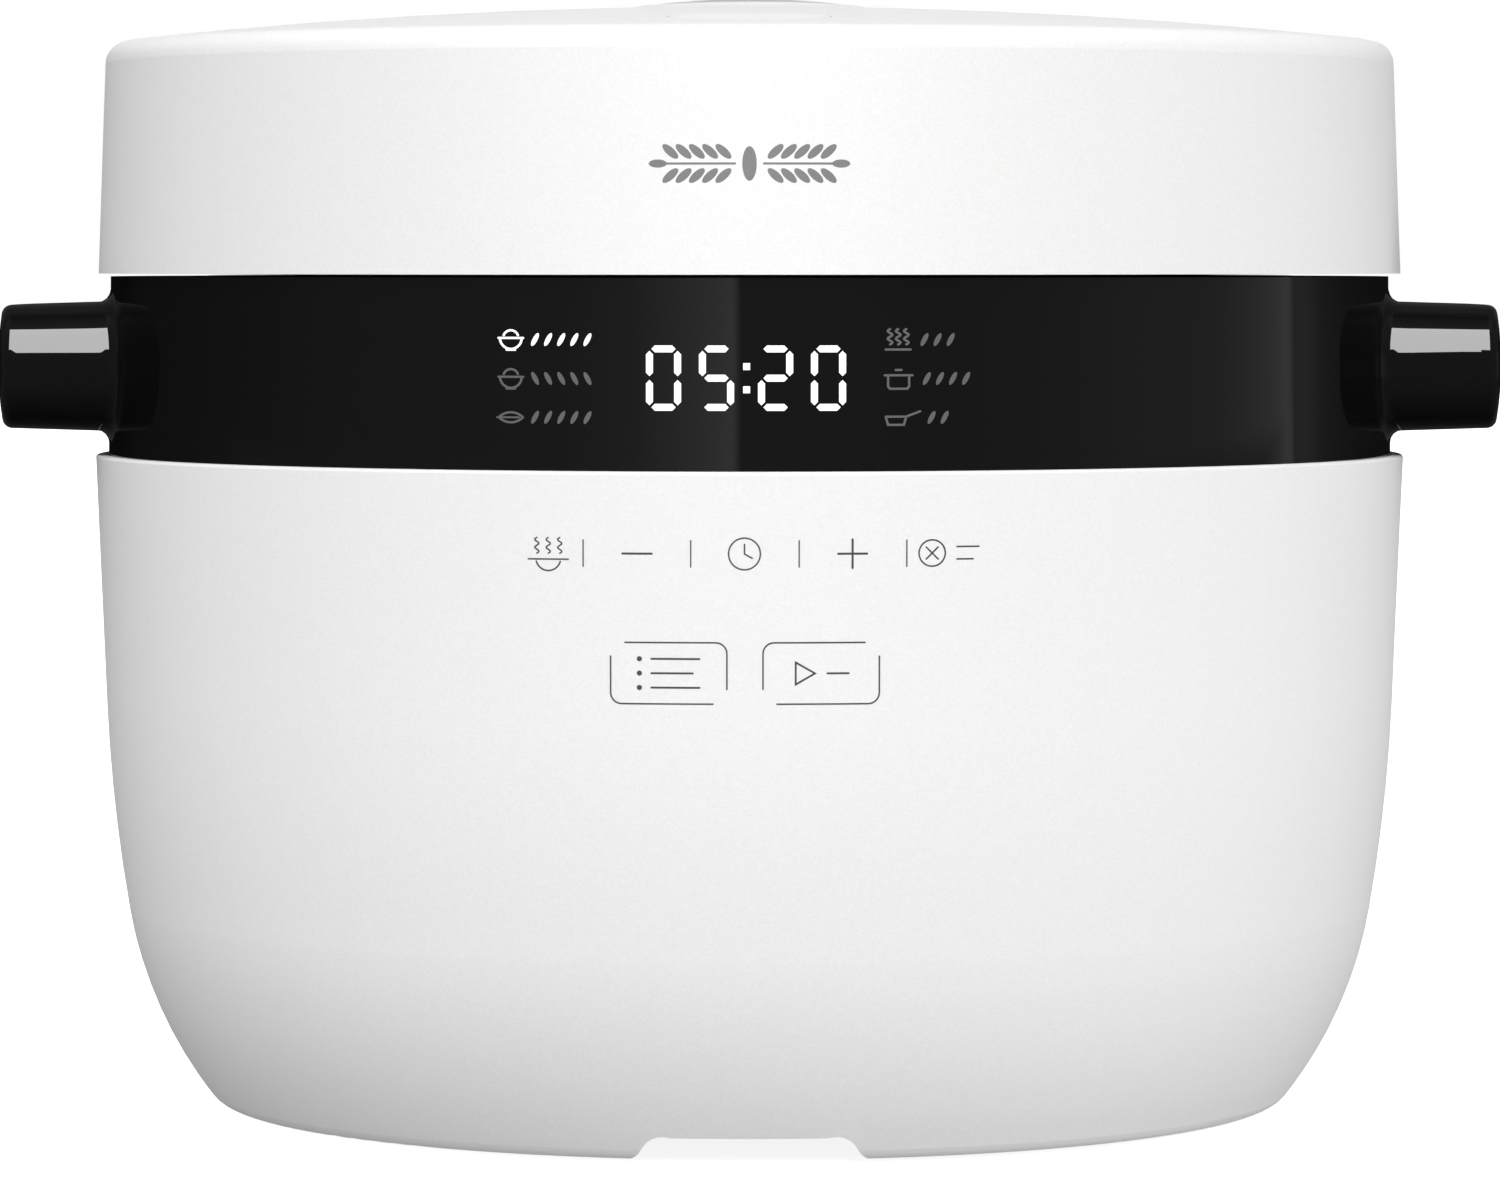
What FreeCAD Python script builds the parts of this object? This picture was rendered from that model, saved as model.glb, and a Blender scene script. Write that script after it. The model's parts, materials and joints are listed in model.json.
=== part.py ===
"""A counter-top rice cooker: a round white housing on rubber feet, a gloss black band with two
moulded side handles, and a domed lid hinged at the back, over a lift-out pot on a heating plate.

Frame: millimetres, +Z up, the front faces -Y. The origin is on the pot's axis, in the plane that
the feet stand on. Driving sizes are in the sheet; places are expressions over its aliases.
"""

import FreeCAD, Part
import math
import os
import re

import Sketcher

SIZES = {
    # pot and its well
    "pot_radius": 117.0,        # outside of the pot's wall
    "pot_height": 128.0,        # underside of the base to underside of the rim
    "pot_wall": 2.0,
    "pot_corner": 28.0,         # outside radius of the pot's bottom corner
    "pot_rim": 7.0,             # how far the rim stands out from the wall
    "rim_thick": 2.0,
    "liner_gap": 3.0,
    "liner_wall": 0.8,
    "service_gap": 25.0,        # liner to housing, room for the boards
    # housing
    "housing_wall": 2.6,
    "housing_draft": 2.35,      # degrees
    "side_arc": 366.6,
    "side_turn": 9.76,          # degrees from upright where the belly starts
    "belly_arc": 93.65,
    "belly_turn": 37.8,
    "heel_arc": 6.0,
    "rim_flat": 1.2,
    "notch_low": 27.0,          # half width of the front notch at the rim
    "notch_high": 18.8,         # half width at its top
    "notch_rise": 5.3,
    # base
    "foot_proud": 1.1,
    "foot_radius": 8.0,
    "foot_inset": 20.865,       # foot centre inside the rim
    "base_lift": 5.5,
    "base_wall": 2.5,
    "bay_height": 49.4,         # base plate to pot
    "boss_inset": 7.865,        # screw boss centre inside the rim
    "boss_radius": 4.6,
    "boss_height": 5.0,
    "screw_radius": 1.5,
    "screw_head": 3.2,
    "screw_clear": 0.15,
    # black band with handles
    "band_height": 40.2,
    "band_rise": 1.8,           # band top above the rim's underside
    "band_wall": 2.6,
    "band_gap": 0.3,
    "band_draft": 0.85,
    "band_tuck": 4.0,
    "handle_reach": 24.7,       # band to handle tip
    "handle_half": 37.0,
    "handle_tall": 29.4,
    "handle_drop": 20.2,        # handle centre below the band's top
    "handle_round": 12.5,
    "handle_taper": 1.7,        # degrees
    "handle_bulge": 75.0,       # end radius seen from the front
    "handle_sweep": 200.0,      # end radius seen from above
    "handle_tip_round": 2.3,
    "handle_root_round": 3.0,
    "handle_shell": 4.6,
    # deck round the pot's mouth
    "part_gap": 0.2,
    "deck_thick": 5.6,
    "deck_step": 0.6,           # deck below the band's top
    "gutter_in": 1.2,           # rim seat to gutter
    "gutter_wide": 2.8,
    "gutter_deep": 3.4,
    # lid
    "lid_gap": 0.65,
    "lid_inset": 0.8,
    "lid_wall": 2.6,
    "lid_draft": 2.07,
    "skirt_height": 51.6,
    "dome_arc": 1300.0,
    "shoulder_round": 5.0,
    "inner_cover_wall": 2.4,
    "inner_cover_lift": 4.3,    # inner cover's face above the skirt's edge
    "inner_rim_wall": 2.2,
    "lid_boss_radius": 4.0,
    # steam vent
    "vent_radius": 21.0,
    "vent_clear": 0.5,
    "vent_plug": 16.4,
    "vent_tube_wall": 1.6,
    "plug_clear": 0.4,
    "collar_wide": 13.0,
    "collar_rise": 1.0,
    "cap_rise": 0.35,           # cap's edge above the collar
    "cap_crown": 1.15,
    "cap_thick": 2.6,
    "plug_deep": 11.0,
    "steam_hole": 5.0,
    # hinge
    "hinge_out": 10.5,          # pin axis behind the band
    "knuckle_radius": 6.5,
    "pin_radius": 2.5,
    "pin_clear": 0.05,
    "ear_out": 40.0,
    "ear_in": 28.0,
    "arm_half": 26.5,
    "arm_inner": 10.0,
    "arm_thick": 1.6,
    "arm_long": 30.0,
    "hinge_block": 9.0,
    # latch and button
    "button_half": 17.0,
    "button_end": 10.0,
    "button_back": 30.0,        # button centre behind the lid's edge
    "button_thick": 3.2,
    "button_clear": 0.35,
    "button_travel": 3.0,
    "latch_half": 7.0,
    "latch_thick": 2.2,
    "latch_front": 2.0,         # latch plate to the band when the button is down
    "hook_reach": 3.8,
    "hook_thick": 2.5,
    "hook_drop": 10.1,          # hook's foot below the band's top
    "latch_gap": 0.3,
    "wire": 0.9,
    # heater and sensor
    "plate_inset": 7.0,         # plate's edge inside the shield
    "plate_thick": 10.0,
    "plate_hole": 15.0,
    "element_inset": 25.0,      # element's ring inside the plate's edge
    "element_wire": 4.0,
    "shield_inset": 2.0,        # shield inside the pot's flat base
    "shield_wall": 1.0,
    "shield_drop": 28.5,        # shield's floor below the pot
    "sensor_radius": 12.0,
    "sensor_stem": 6.0,
    "sensor_slide": 0.1,
    # boards and display
    "board_thick": 1.6,
    "film_margin": 1.9,         # touch film above the end of the housing's straight part
    "display_half": 26.0,
    "display_tall": 20.0,
    "display_drop": 20.8,       # digits' centre below the band's top
    # condensate cup
    "cup_half": 28.5,
    "cup_deep": 18.0,
    "cup_tall": 18.0,
    "cup_wall": 1.5,
    "cup_lip": 3.0,
    # power inlet
    "inlet_half": 17.0,
    "inlet_tall": 25.0,
    "inlet_deep": 20.0,
    "inlet_level": 54.0,
    "socket_half": 12.0,
    "socket_tall": 16.4,
    "socket_deep": 16.0,
}

doc = FreeCAD.newDocument("rice_cooker")
sheet = doc.addObject("Spreadsheet::Sheet", "Sizes")
for row, (alias, size) in enumerate(SIZES.items(), start=1):
    sheet.set(f"A{row}", alias)
    sheet.set(f"B{row}", str(size))
    sheet.setAlias(f"B{row}", alias)
doc.recompute()

WORD = re.compile(r"[a-z][a-z_0-9]*")
PLANES = {"XY": "XY_Plane", "XZ": "XZ_Plane", "YZ": "YZ_Plane"}
parts = []


# ---------------------------------------------------------------- places, as expressions
POT_BASE = "(foot_proud + base_lift + base_wall + bay_height)"
BASE_TOP = "(foot_proud + base_lift + base_wall)"
RIM = f"({POT_BASE} + pot_height)"
BAND_TOP = f"({RIM} + band_rise)"
SEAM = f"({BAND_TOP} - band_height)"
LINER_IN = "(pot_radius + liner_gap)"
LINER_OUT = f"({LINER_IN} + liner_wall)"
HOUSING_R = f"({LINER_OUT} + service_gap + housing_wall)"
BAND_R = f"({HOUSING_R} - housing_wall - band_gap)"
BAND_TOP_R = f"({BAND_R} - band_height * tan(band_draft))"
BAND_IN = f"({BAND_TOP_R} - band_wall)"
DECK_TOP = f"({BAND_TOP} - deck_step)"
DECK_BASE = f"({DECK_TOP} - deck_thick)"
DECK_R = f"({BAND_IN} - part_gap)"
RIM_R = "(pot_radius + pot_rim)"
LID_BASE = f"({BAND_TOP} + lid_gap)"
LID_R = f"({HOUSING_R} - lid_inset)"
LID_TOP_R = f"({LID_R} - skirt_height * tan(lid_draft))"
LID_CORNER = f"({LID_BASE} + skirt_height)"
DOME_CENTRE = f"({LID_CORNER} - sqrt(dome_arc^2 - {LID_TOP_R}^2))"
COVER_BASE = f"({LID_BASE} + inner_cover_lift)"
COVER_TOP = f"({COVER_BASE} + inner_cover_wall)"
HOLE_R = "(vent_radius + vent_clear)"
COLLAR_R = f"({HOLE_R} + collar_wide)"
HINGE_Y = f"({BAND_R} + hinge_out)"
HINGE_Z = f"({COVER_TOP} + part_gap + arm_thick - knuckle_radius)"
BLOCK_TOP = f"({HINGE_Z} - knuckle_radius - latch_gap)"
BLOCK_BASE = f"({BLOCK_TOP} - hinge_block)"
LATCH_Y = f"(latch_front + button_travel - {BAND_IN})"
HOOK_Z = f"({BAND_TOP} - hook_drop)"
BUTTON_Y = f"(button_back - {LID_R})"
SHIELD_Z = f"({POT_BASE} - shield_drop)"
SHIELD_R = "(pot_radius - pot_corner - shield_inset)"
PLATE_R = f"({SHIELD_R} - plate_inset)"
ELEMENT_R = f"({PLATE_R} - element_inset)"
POST_CIRCLE = f"({SHIELD_R} - 8)"
HANDLE_Z = f"({BAND_TOP} - handle_drop)"
HANDLE_TIP = f"({BAND_R} + handle_reach)"
GRIP_HALF = "(handle_half - handle_round - 2)"
DISPLAY_Z = f"({BAND_TOP} - display_drop)"
BOARD_Y = f"(-{LINER_OUT} - 3.6)"


def dome(radius, depth="0"):
    """Height of the lid's dome at a radius, depth below its outer surface."""
    return f"({DOME_CENTRE} + sqrt((dome_arc - {depth})^2 - ({radius})^2))"


COLLAR_TOP = f"({dome(HOLE_R)} + collar_rise)"
CAP_EDGE = f"({COLLAR_TOP} + cap_rise)"
CAP_BASE = f"({CAP_EDGE} - cap_thick)"


# ---------------------------------------------------------------- building helpers
def value(size):
    """An expression over the sheet, worked out as a number."""
    found = sheet.evalExpression(str(size))
    return float(getattr(found, "Value", found))


def linked(size):
    """The expression as another object of the document writes it."""
    return WORD.sub(lambda m: "Sizes." + m.group() if m.group() in SIZES else m.group(), str(size))


def bind(item, field, size):
    item.setExpression(field, linked(size))


def keep(item, label):
    """Marks an object as a sub-part, whose label names its file."""
    item.Label = label
    parts.append(item)
    return item


def new_body(label):
    return keep(doc.addObject("PartDesign::Body", label + "_body"), label)


def pin_point(drawing, edge, end, x, y):
    """Fixes one end of an edge at x, y, each an expression."""
    for kind, axis, size in (("DistanceX", -2, x), ("DistanceY", -1, y)):
        number = value(size)
        if abs(number) < 1e-9:
            drawing.addConstraint(Sketcher.Constraint("PointOnObject", edge, end, axis))
        elif number > 0:
            index = drawing.addConstraint(Sketcher.Constraint(kind, -1, 1, edge, end, number))
            bind(drawing, f"Constraints[{index}]", size)
        else:
            index = drawing.addConstraint(Sketcher.Constraint(kind, edge, end, -1, 1, -number))
            bind(drawing, f"Constraints[{index}]", f"-({size})")


def draw_circle(drawing, x, y, radius):
    centre = FreeCAD.Vector(value(x), value(y), 0)
    edge = drawing.addGeometry(Part.Circle(centre, FreeCAD.Vector(0, 0, 1), value(radius)), False)
    index = drawing.addConstraint(Sketcher.Constraint("Radius", edge, value(radius)))
    bind(drawing, f"Constraints[{index}]", radius)
    pin_point(drawing, edge, 3, x, y)


def draw_outline(drawing, corners):
    """A closed outline. A corner is (x, y) or (x, y, radius, turn): the edge that arrives there is
    then an arc, turning left (1) or right (-1), and a half circle where radius is None."""
    spots = [FreeCAD.Vector(value(c[0]), value(c[1]), 0) for c in corners]
    ends = []
    for i, corner in enumerate(corners):
        start, stop = spots[i - 1], spots[i]
        if len(corner) == 2:
            edge = drawing.addGeometry(Part.LineSegment(start, stop), False)
            ends.append((edge, 1, 2))
            continue
        chord = stop - start
        half = chord.Length / 2
        radius = half if corner[2] is None else value(corner[2])
        rise = radius - math.sqrt(max(radius * radius - half * half, 0.0))
        side = FreeCAD.Vector(chord.y, -chord.x, 0).normalize() * (rise * corner[3])
        middle = (start + stop) * 0.5 + side
        if corner[3] > 0:
            edge = drawing.addGeometry(Part.Arc(start, middle, stop), False)
            ends.append((edge, 1, 2))
        else:
            edge = drawing.addGeometry(Part.Arc(stop, middle, start), False)
            ends.append((edge, 2, 1))
    for i, corner in enumerate(corners):
        edge, _, stop_end = ends[i]
        next_edge, next_start, _ = ends[(i + 1) % len(corners)]
        drawing.addConstraint(Sketcher.Constraint("Coincident", edge, stop_end, next_edge, next_start))
        pin_point(drawing, edge, stop_end, corner[0], corner[1])
        if len(corner) > 2 and corner[2] is None:
            drawing.addConstraint(Sketcher.Constraint("Symmetric", edge, 1, edge, 2, edge, 3))
        elif len(corner) > 2:
            index = drawing.addConstraint(Sketcher.Constraint("Radius", edge, value(corner[2])))
            bind(drawing, f"Constraints[{index}]", corner[2])


def sketch(body, plane, outlines, level="0"):
    """A sketch on one of the body's own origin planes, level along that plane's normal."""
    drawing = body.newObject("Sketcher::SketchObject", body.Label + "_sketch")
    origin = [f for f in body.Origin.OriginFeatures if f.Role == PLANES[plane]][0]
    drawing.AttachmentSupport = (origin, [""])
    drawing.MapMode = "FlatFace"
    bind(drawing, "AttachmentOffset.Base.z", level)
    for outline in outlines:
        if outline[0] == "circle":
            draw_circle(drawing, *outline[1:])
        else:
            draw_outline(drawing, outline)
    return drawing


def rounded(x0, x1, y0, y1, radius):
    """A rectangle with round corners, as an outline."""
    left, right = f"({x0} + {radius})", f"({x1} - {radius})"
    low, high = f"({y0} + {radius})", f"({y1} - {radius})"
    return [
        (left, y0, radius, 1), (right, y0), (x1, low, radius, 1), (x1, high),
        (right, y1, radius, 1), (left, y1), (x0, high, radius, 1), (x0, low),
    ]


def rectangle(x0, x1, y0, y1):
    return [(x0, y0), (x1, y0), (x1, y1), (x0, y1)]


def turned(body, outline, cut=False, plane="XZ", level="0"):
    """A revolution of an outline about its sketch's upright axis, or a groove where cut is true."""
    profile = sketch(body, plane, [outline], level)
    kind = "PartDesign::Groove" if cut else "PartDesign::Revolution"
    feature = body.newObject(kind, body.Label + "_turn")
    feature.Profile = profile
    feature.ReferenceAxis = (profile, ["V_Axis"])
    feature.Angle = 360
    profile.Visibility = False
    doc.recompute()
    return feature


def pad(body, plane, outlines, level, length, back=False, taper=None):
    """A pad along the plane's normal from level, or against it where back is true."""
    feature = body.newObject("PartDesign::Pad", body.Label + "_pad")
    feature.Profile = sketch(body, plane, outlines, level)
    bind(feature, "Length", length)
    feature.Reversed = back
    if taper:
        bind(feature, "TaperAngle", taper)
    doc.recompute()
    return feature


def pocket(body, plane, outlines, level, length, forward=False):
    """A pocket against the plane's normal from level, or along it where forward is true."""
    before = body.Shape.Volume
    feature = body.newObject("PartDesign::Pocket", body.Label + "_pocket")
    feature.Profile = sketch(body, plane, outlines, level)
    bind(feature, "Length", length)
    feature.Reversed = forward
    doc.recompute()
    if not body.Shape.Volume < before - 1e-6:
        raise ValueError(f"{body.Label}: a pocket cuts nothing")
    return feature


def round_edges(body, radius, wanted):
    """Fillets the edges of the body's tip that wanted(edge) picks."""
    base = body.Tip
    names = [f"Edge{i}" for i, e in enumerate(base.Shape.Edges, start=1) if wanted(e)]
    if not names:
        raise ValueError(f"{body.Label}: no edge to round")
    feature = body.newObject("PartDesign::Fillet", body.Label + "_fillet")
    feature.Base = (base, names)
    bind(feature, "Radius", radius)
    doc.recompute()
    return feature


def around(body, feature, count):
    """Repeats a feature around the Z axis."""
    pattern = body.newObject("PartDesign::PolarPattern", body.Label + "_pattern")
    pattern.Originals = [feature]
    axis = [f for f in body.Origin.OriginFeatures if f.Role == "Z_Axis"][0]
    pattern.Axis = (axis, [""])
    pattern.Angle = 360
    pattern.Occurrences = count
    body.Tip = pattern
    doc.recompute()
    return pattern


def is_ring(edge, radius, level, slack=0.2):
    """True for a round edge about the Z axis at that radius and height."""
    if edge.Degenerated:
        return False
    curve = edge.Curve
    return (
        isinstance(curve, Part.Circle)
        and abs(curve.Radius - value(radius)) < slack
        and abs(curve.Center.z - value(level)) < slack
        and math.hypot(curve.Center.x, curve.Center.y) < slack
    )


def place(item, x, y, z, along="Z"):
    """Puts a primitive at x, y, z, its own axis turned to X or Y where asked."""
    turns = {"X": ((0, 1, 0), 90), "Y": ((1, 0, 0), -90)}
    if along in turns:
        axis, angle = turns[along]
        item.Placement.Rotation = FreeCAD.Rotation(FreeCAD.Vector(*axis), angle)
    for letter, size in zip("xyz", (x, y, z)):
        bind(item, f"Placement.Base.{letter}", size)
    return item


def cylinder(name, radius, height, x, y, z, along="Z"):
    item = doc.addObject("Part::Cylinder", name)
    bind(item, "Radius", radius)
    bind(item, "Height", height)
    return place(item, x, y, z, along)


def block(name, x0, x1, y0, y1, z0, z1):
    item = doc.addObject("Part::Box", name)
    for field, low, high in (("Length", x0, x1), ("Width", y0, y1), ("Height", z0, z1)):
        bind(item, field, f"({high}) - ({low})")
    return place(item, x0, y0, z0)


def fused(name, items):
    joined = doc.addObject("Part::MultiFuse", name)
    joined.Shapes = items
    return joined


def grouped(label, items):
    group = doc.addObject("Part::Compound", label + "_group")
    group.Links = items
    return keep(group, label)


def cut_from(name, base, tools):
    """base with the tools taken out of it."""
    result = doc.addObject("Part::Cut", name)
    result.Base = base
    result.Tool = tools[0] if len(tools) == 1 else fused(name + "_tools", tools)
    return result


def coil(label, radius, wire, turns, length, origin, axis):
    """A spring of round wire wound on a helix, from origin along axis. Sizes are expressions."""
    mean, thick, long = value(radius), value(wire), value(length)
    helix = Part.makeHelix(long / turns, long, mean)
    section = Part.Wire(Part.makeCircle(thick / 2, FreeCAD.Vector(mean, 0, 0), FreeCAD.Vector(0, 1, 0)))
    spring = doc.addObject("Part::Feature", label + "_coil")
    spring.Shape = Part.Wire(helix.Edges).makePipeShell([section], True, True)
    spring.Placement = FreeCAD.Placement(
        FreeCAD.Vector(*(value(size) for size in origin)),
        FreeCAD.Rotation(FreeCAD.Vector(0, 0, 1), FreeCAD.Vector(*axis)),
    )
    return keep(spring, label)


def polar(circle, degrees):
    """x and y, as expressions, of a point on a circle about the Z axis."""
    return f"({circle} * cos({degrees}))", f"({circle} * sin({degrees}))"


# ---------------------------------------------------------------- housing
def swing(x, y, arc, start, stop):
    """The end of an arc of the housing's side, which leans from start to stop degrees inwards."""
    return (f"({x} - ({arc}) * (cos({start}) - cos({stop})))",
            f"({y} - ({arc}) * (sin({stop}) - sin({start})))")


def housing_points():
    """The housing's outer profile from seam to heel, and the same points on its inner face."""
    straight = (f"(({SEAM} - foot_proud - side_arc * (sin(side_turn) - sin(housing_draft))"
                " - belly_arc * (sin(belly_turn) - sin(side_turn))"
                " - heel_arc * (1 - sin(belly_turn))) / cos(housing_draft))")
    x1 = f"({HOUSING_R} - {straight} * sin(housing_draft))"
    y1 = f"({SEAM} - {straight} * cos(housing_draft))"
    x2, y2 = swing(x1, y1, "side_arc", "housing_draft", "side_turn")
    x3, y3 = swing(x2, y2, "belly_arc", "side_turn", "belly_turn")
    x4, y4 = swing(x3, y3, "heel_arc", "belly_turn", "90")
    outer = [(x1, y1), (x2, y2), (x3, y3), (x4, y4)]
    inner = [(f"({x} - housing_wall * cos({lean}))", f"({y} + housing_wall * sin({lean}))")
             for (x, y), lean in zip(outer, ("housing_draft", "side_turn", "belly_turn"))]
    return outer, inner


OUTER, INNER = housing_points()
RING_IN = f"({OUTER[3][0]} - rim_flat)"
RING_OUT = f"({RING_IN} + housing_wall)"
LIP_TOP = f"({BASE_TOP} + 0.1)"
BOSS_CIRCLE = f"({RING_IN} - boss_inset)"
FOOT_CIRCLE = f"({RING_IN} - foot_inset)"
INLET_FACE = f"({OUTER[0][0]} - 1.5)"


def outer_housing():
    """The white shell, with a lip for the base plate, screw bosses, a front notch and a rear opening
    for the power inlet."""
    body = new_body("outer_housing")
    (o1, o2, o3, o4), (i1, i2, i3) = OUTER, INNER
    turned(body, [
        (HOUSING_R, SEAM), o1, (*o2, "side_arc", -1), (*o3, "belly_arc", -1), (*o4, "heel_arc", -1),
        (RING_IN, "foot_proud"), (RING_IN, LIP_TOP), (RING_OUT, LIP_TOP), (RING_OUT, i3[1]), i3,
        (*i2, "belly_arc - housing_wall", 1), (*i1, "side_arc - housing_wall", 1),
        (f"{HOUSING_R} - housing_wall / cos(housing_draft)", SEAM),
    ])
    round_edges(body, "0.7", lambda e: is_ring(e, HOUSING_R, SEAM))
    x, y = polar(BOSS_CIRCLE, "45")
    boss = pad(body, "XY", [("circle", x, y, "boss_radius")], f"({LIP_TOP} + 0.1)", "boss_height")
    around(body, boss, 4)
    for k in range(4):
        rib(body, 45 + 90 * k)
    hole = pocket(body, "XY", [("circle", x, y, "screw_radius + screw_clear")],
                  f"({LIP_TOP} + 0.1 + boss_height)", "boss_height + 1")
    around(body, hole, 4)
    drop, rise, half, top = "(foot_proud - 3)", "(foot_proud + notch_rise)", "notch_low", "notch_high"
    bend = "(notch_rise / 2)"
    pocket(body, "XZ", [[
        (f"-{half}", drop), (half, drop), (half, "foot_proud - 0.6"),
        (f"({half} + {top}) / 2", f"foot_proud + {bend}", "6", -1),
        (f"{top} - 2", rise, "5", 1), (f"-{top} + 2", rise),
        (f"-({half} + {top}) / 2", f"foot_proud + {bend}", "5", 1),
        (f"-{half}", "foot_proud - 0.6", "6", -1),
    ]], f"{HOUSING_R}", f"{HOUSING_R} - 90")
    level = "inlet_level"
    pocket(body, "XZ", [rectangle("-inlet_half - part_gap", "inlet_half + part_gap",
                                  f"{level} - inlet_tall / 2 - part_gap",
                                  f"{level} + inlet_tall / 2 + part_gap")],
           f"-({HOUSING_R} - 40)", "60")


def rib(body, degrees):
    """A rib that ties a screw boss to the housing's wall."""
    half, lower, upper = "1.5", f"({LIP_TOP} + 0.1)", "boss_height"
    near, far = f"({BOSS_CIRCLE} + boss_radius - 1)", f"({INNER[2][0]} + 4)"
    corners = []
    for radius, side in ((near, "-1"), (far, "-1"), (far, "1"), (near, "1")):
        corners.append((f"({radius} * cos({degrees}) - {side} * {half} * sin({degrees}))",
                        f"({radius} * sin({degrees}) + {side} * {half} * cos({degrees}))"))
    pad(body, "XY", [corners], lower, upper)


# ---------------------------------------------------------------- band and handles
def handle_band():
    """The gloss black band and its two handles, one moulding, hollow under each handle."""
    body = new_body("handle_band")
    low = f"({SEAM} - band_tuck)"
    core = f"({BAND_IN} - 14)"
    turned(body, [(core, low), (BAND_R, low), (BAND_R, SEAM), (BAND_TOP_R, BAND_TOP), (core, BAND_TOP)])
    start = f"({BAND_IN} - 6)"
    section = rounded("-handle_half", "handle_half", f"({HANDLE_Z} - handle_tall / 2)",
                      f"({HANDLE_Z} + handle_tall / 2)", "handle_round")
    for side in ("", "-"):
        left = side == "-"
        pad(body, "YZ", [section], f"{side}({start})", f"{HANDLE_TIP} + 1 - {start}", back=left,
            taper="-handle_taper")
        turned(body, handle_end(), True, "YZ", f"{side}({HANDLE_TIP} - handle_sweep)")
    tip = value(HANDLE_TIP)
    round_edges(body, "handle_tip_round",
                lambda e: abs(e.CenterOfMass.x) > tip - 6 and e.BoundBox.XLength < 6)
    round_edges(body, "handle_root_round", on_band_face)
    for side in ("", "-"):
        near, far = f"({BAND_R} + handle_shell)", f"({HANDLE_TIP} - handle_shell)"
        x0, x1 = (near, far) if side == "" else (f"-{far}", f"-{near}")
        pocket(body, "XY", [rounded(x0, x1, f"-{GRIP_HALF}", GRIP_HALF, "6")],
               f"({HANDLE_Z} - handle_tall)", "1.5 * handle_tall - handle_shell", forward=True)
    turned(body, rectangle("0", BAND_IN, f"{low} - 1", f"{BAND_TOP} + 1"), cut=True)
    spout_hole(body)


def handle_end():
    """What is turned off a handle's end, which leaves it bulged both from the front and from above."""
    near = "(handle_sweep - handle_bulge + sqrt(handle_bulge^2 - 22^2))"
    low, high = f"({HANDLE_Z} - 22)", f"({HANDLE_Z} + 22)"
    far = "(handle_sweep + 12)"
    return [(far, high), (near, high), (near, low, "handle_bulge", -1), (far, low)]


def on_band_face(edge):
    """True for the edges where a handle grows out of the band's outer face."""
    box = edge.BoundBox
    middle = edge.valueAt((edge.FirstParameter + edge.LastParameter) / 2)
    reach = math.hypot(middle.x, middle.y)
    share = (middle.z - value(SEAM)) / value("band_height")
    face = value(BAND_R) + (value(BAND_TOP_R) - value(BAND_R)) * share
    inside = box.ZMin > value(SEAM) + 1 and box.ZMax < value(BAND_TOP) - 1
    return inside and abs(reach - face) < 0.05 and abs(middle.y) < value("handle_half") + 1


def spout_hole(body):
    pocket(body, "XZ", [rectangle("-4 - part_gap", "4 + part_gap", f"{SPOUT_LOW} - part_gap",
                                  f"{SPOUT_HIGH} + part_gap")], f"-({BAND_IN} - 20)", "40")
    for x in ("-20", "20"):
        pocket(body, "XZ", [("circle", x, SCREW_Z, "screw_radius + screw_clear")],
               f"-({BAND_IN} - 20)", "40")


SPOUT_LOW = f"({BLOCK_BASE} - 6)"
SPOUT_HIGH = f"({BLOCK_BASE} - 1)"
SCREW_Z = f"({DECK_BASE} - screw_head - part_gap)"


# ---------------------------------------------------------------- deck, liner, pot
def pot_deck():
    """The ring round the pot's mouth: a seat for the pot's rim, a gutter and the latch slot."""
    body = new_body("pot_deck")
    seat = f"({RIM_R} + 1.2)"
    gutter, gutter_out = f"({seat} + gutter_in)", f"({seat} + gutter_in + gutter_wide)"
    floor = f"({DECK_TOP} - gutter_deep)"
    inner = f"({LINER_IN} - 0.2)"
    turned(body, [
        (inner, DECK_BASE), (DECK_R, DECK_BASE), (DECK_R, DECK_TOP), (f"{gutter_out} + 0.8", DECK_TOP),
        (gutter_out, floor), (gutter, floor), (f"{gutter} - 0.8", DECK_TOP), (seat, DECK_TOP),
        (seat, f"({RIM} - part_gap / 2)"), (inner, f"({RIM} - part_gap / 2)"),
    ])
    pocket(body, "XY", [rectangle("-latch_half - 1", "latch_half + 1", f"({LATCH_Y} - button_travel - 0.4)",
                                  SLOT_BACK)],
           f"{DECK_TOP} + 1", "deck_thick + 2")
    x = f"(({gutter} + {gutter_out}) / 2)"
    pocket(body, "XY", [("circle", "0", x, "gutter_wide / 2 - 0.1")], f"{DECK_TOP} + 1",
           "deck_thick + 2")


GUTTER_Y = f"({RIM_R} + 1.2 + gutter_in + gutter_wide / 2)"
SLOT_BACK = f"({LATCH_Y} + latch_thick + hook_reach + latch_gap)"


def pot_liner():
    """The thin metal well that the pot hangs in."""
    body = new_body("pot_liner")
    top = f"({DECK_BASE} - part_gap)"
    bend = "(pot_corner + liner_gap)"
    low = f"({POT_BASE} - liner_gap)"
    flat = "(pot_radius - pot_corner)"
    turned(body, [
        (LINER_IN, top), (LINER_IN, f"({POT_BASE} + pot_corner)"), (flat, low, bend, -1),
        (f"({flat} - 5)", low), (f"({flat} - 5)", f"({low} - liner_wall)"),
        (flat, f"({low} - liner_wall)"),
        (LINER_OUT, f"({POT_BASE} + pot_corner)", f"({bend} + liner_wall)", 1),
        (LINER_OUT, f"({top} - liner_wall)"), (f"({LINER_OUT} + 4)", f"({top} - liner_wall)"),
        (f"({LINER_OUT} + 4)", top),
    ])


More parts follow.
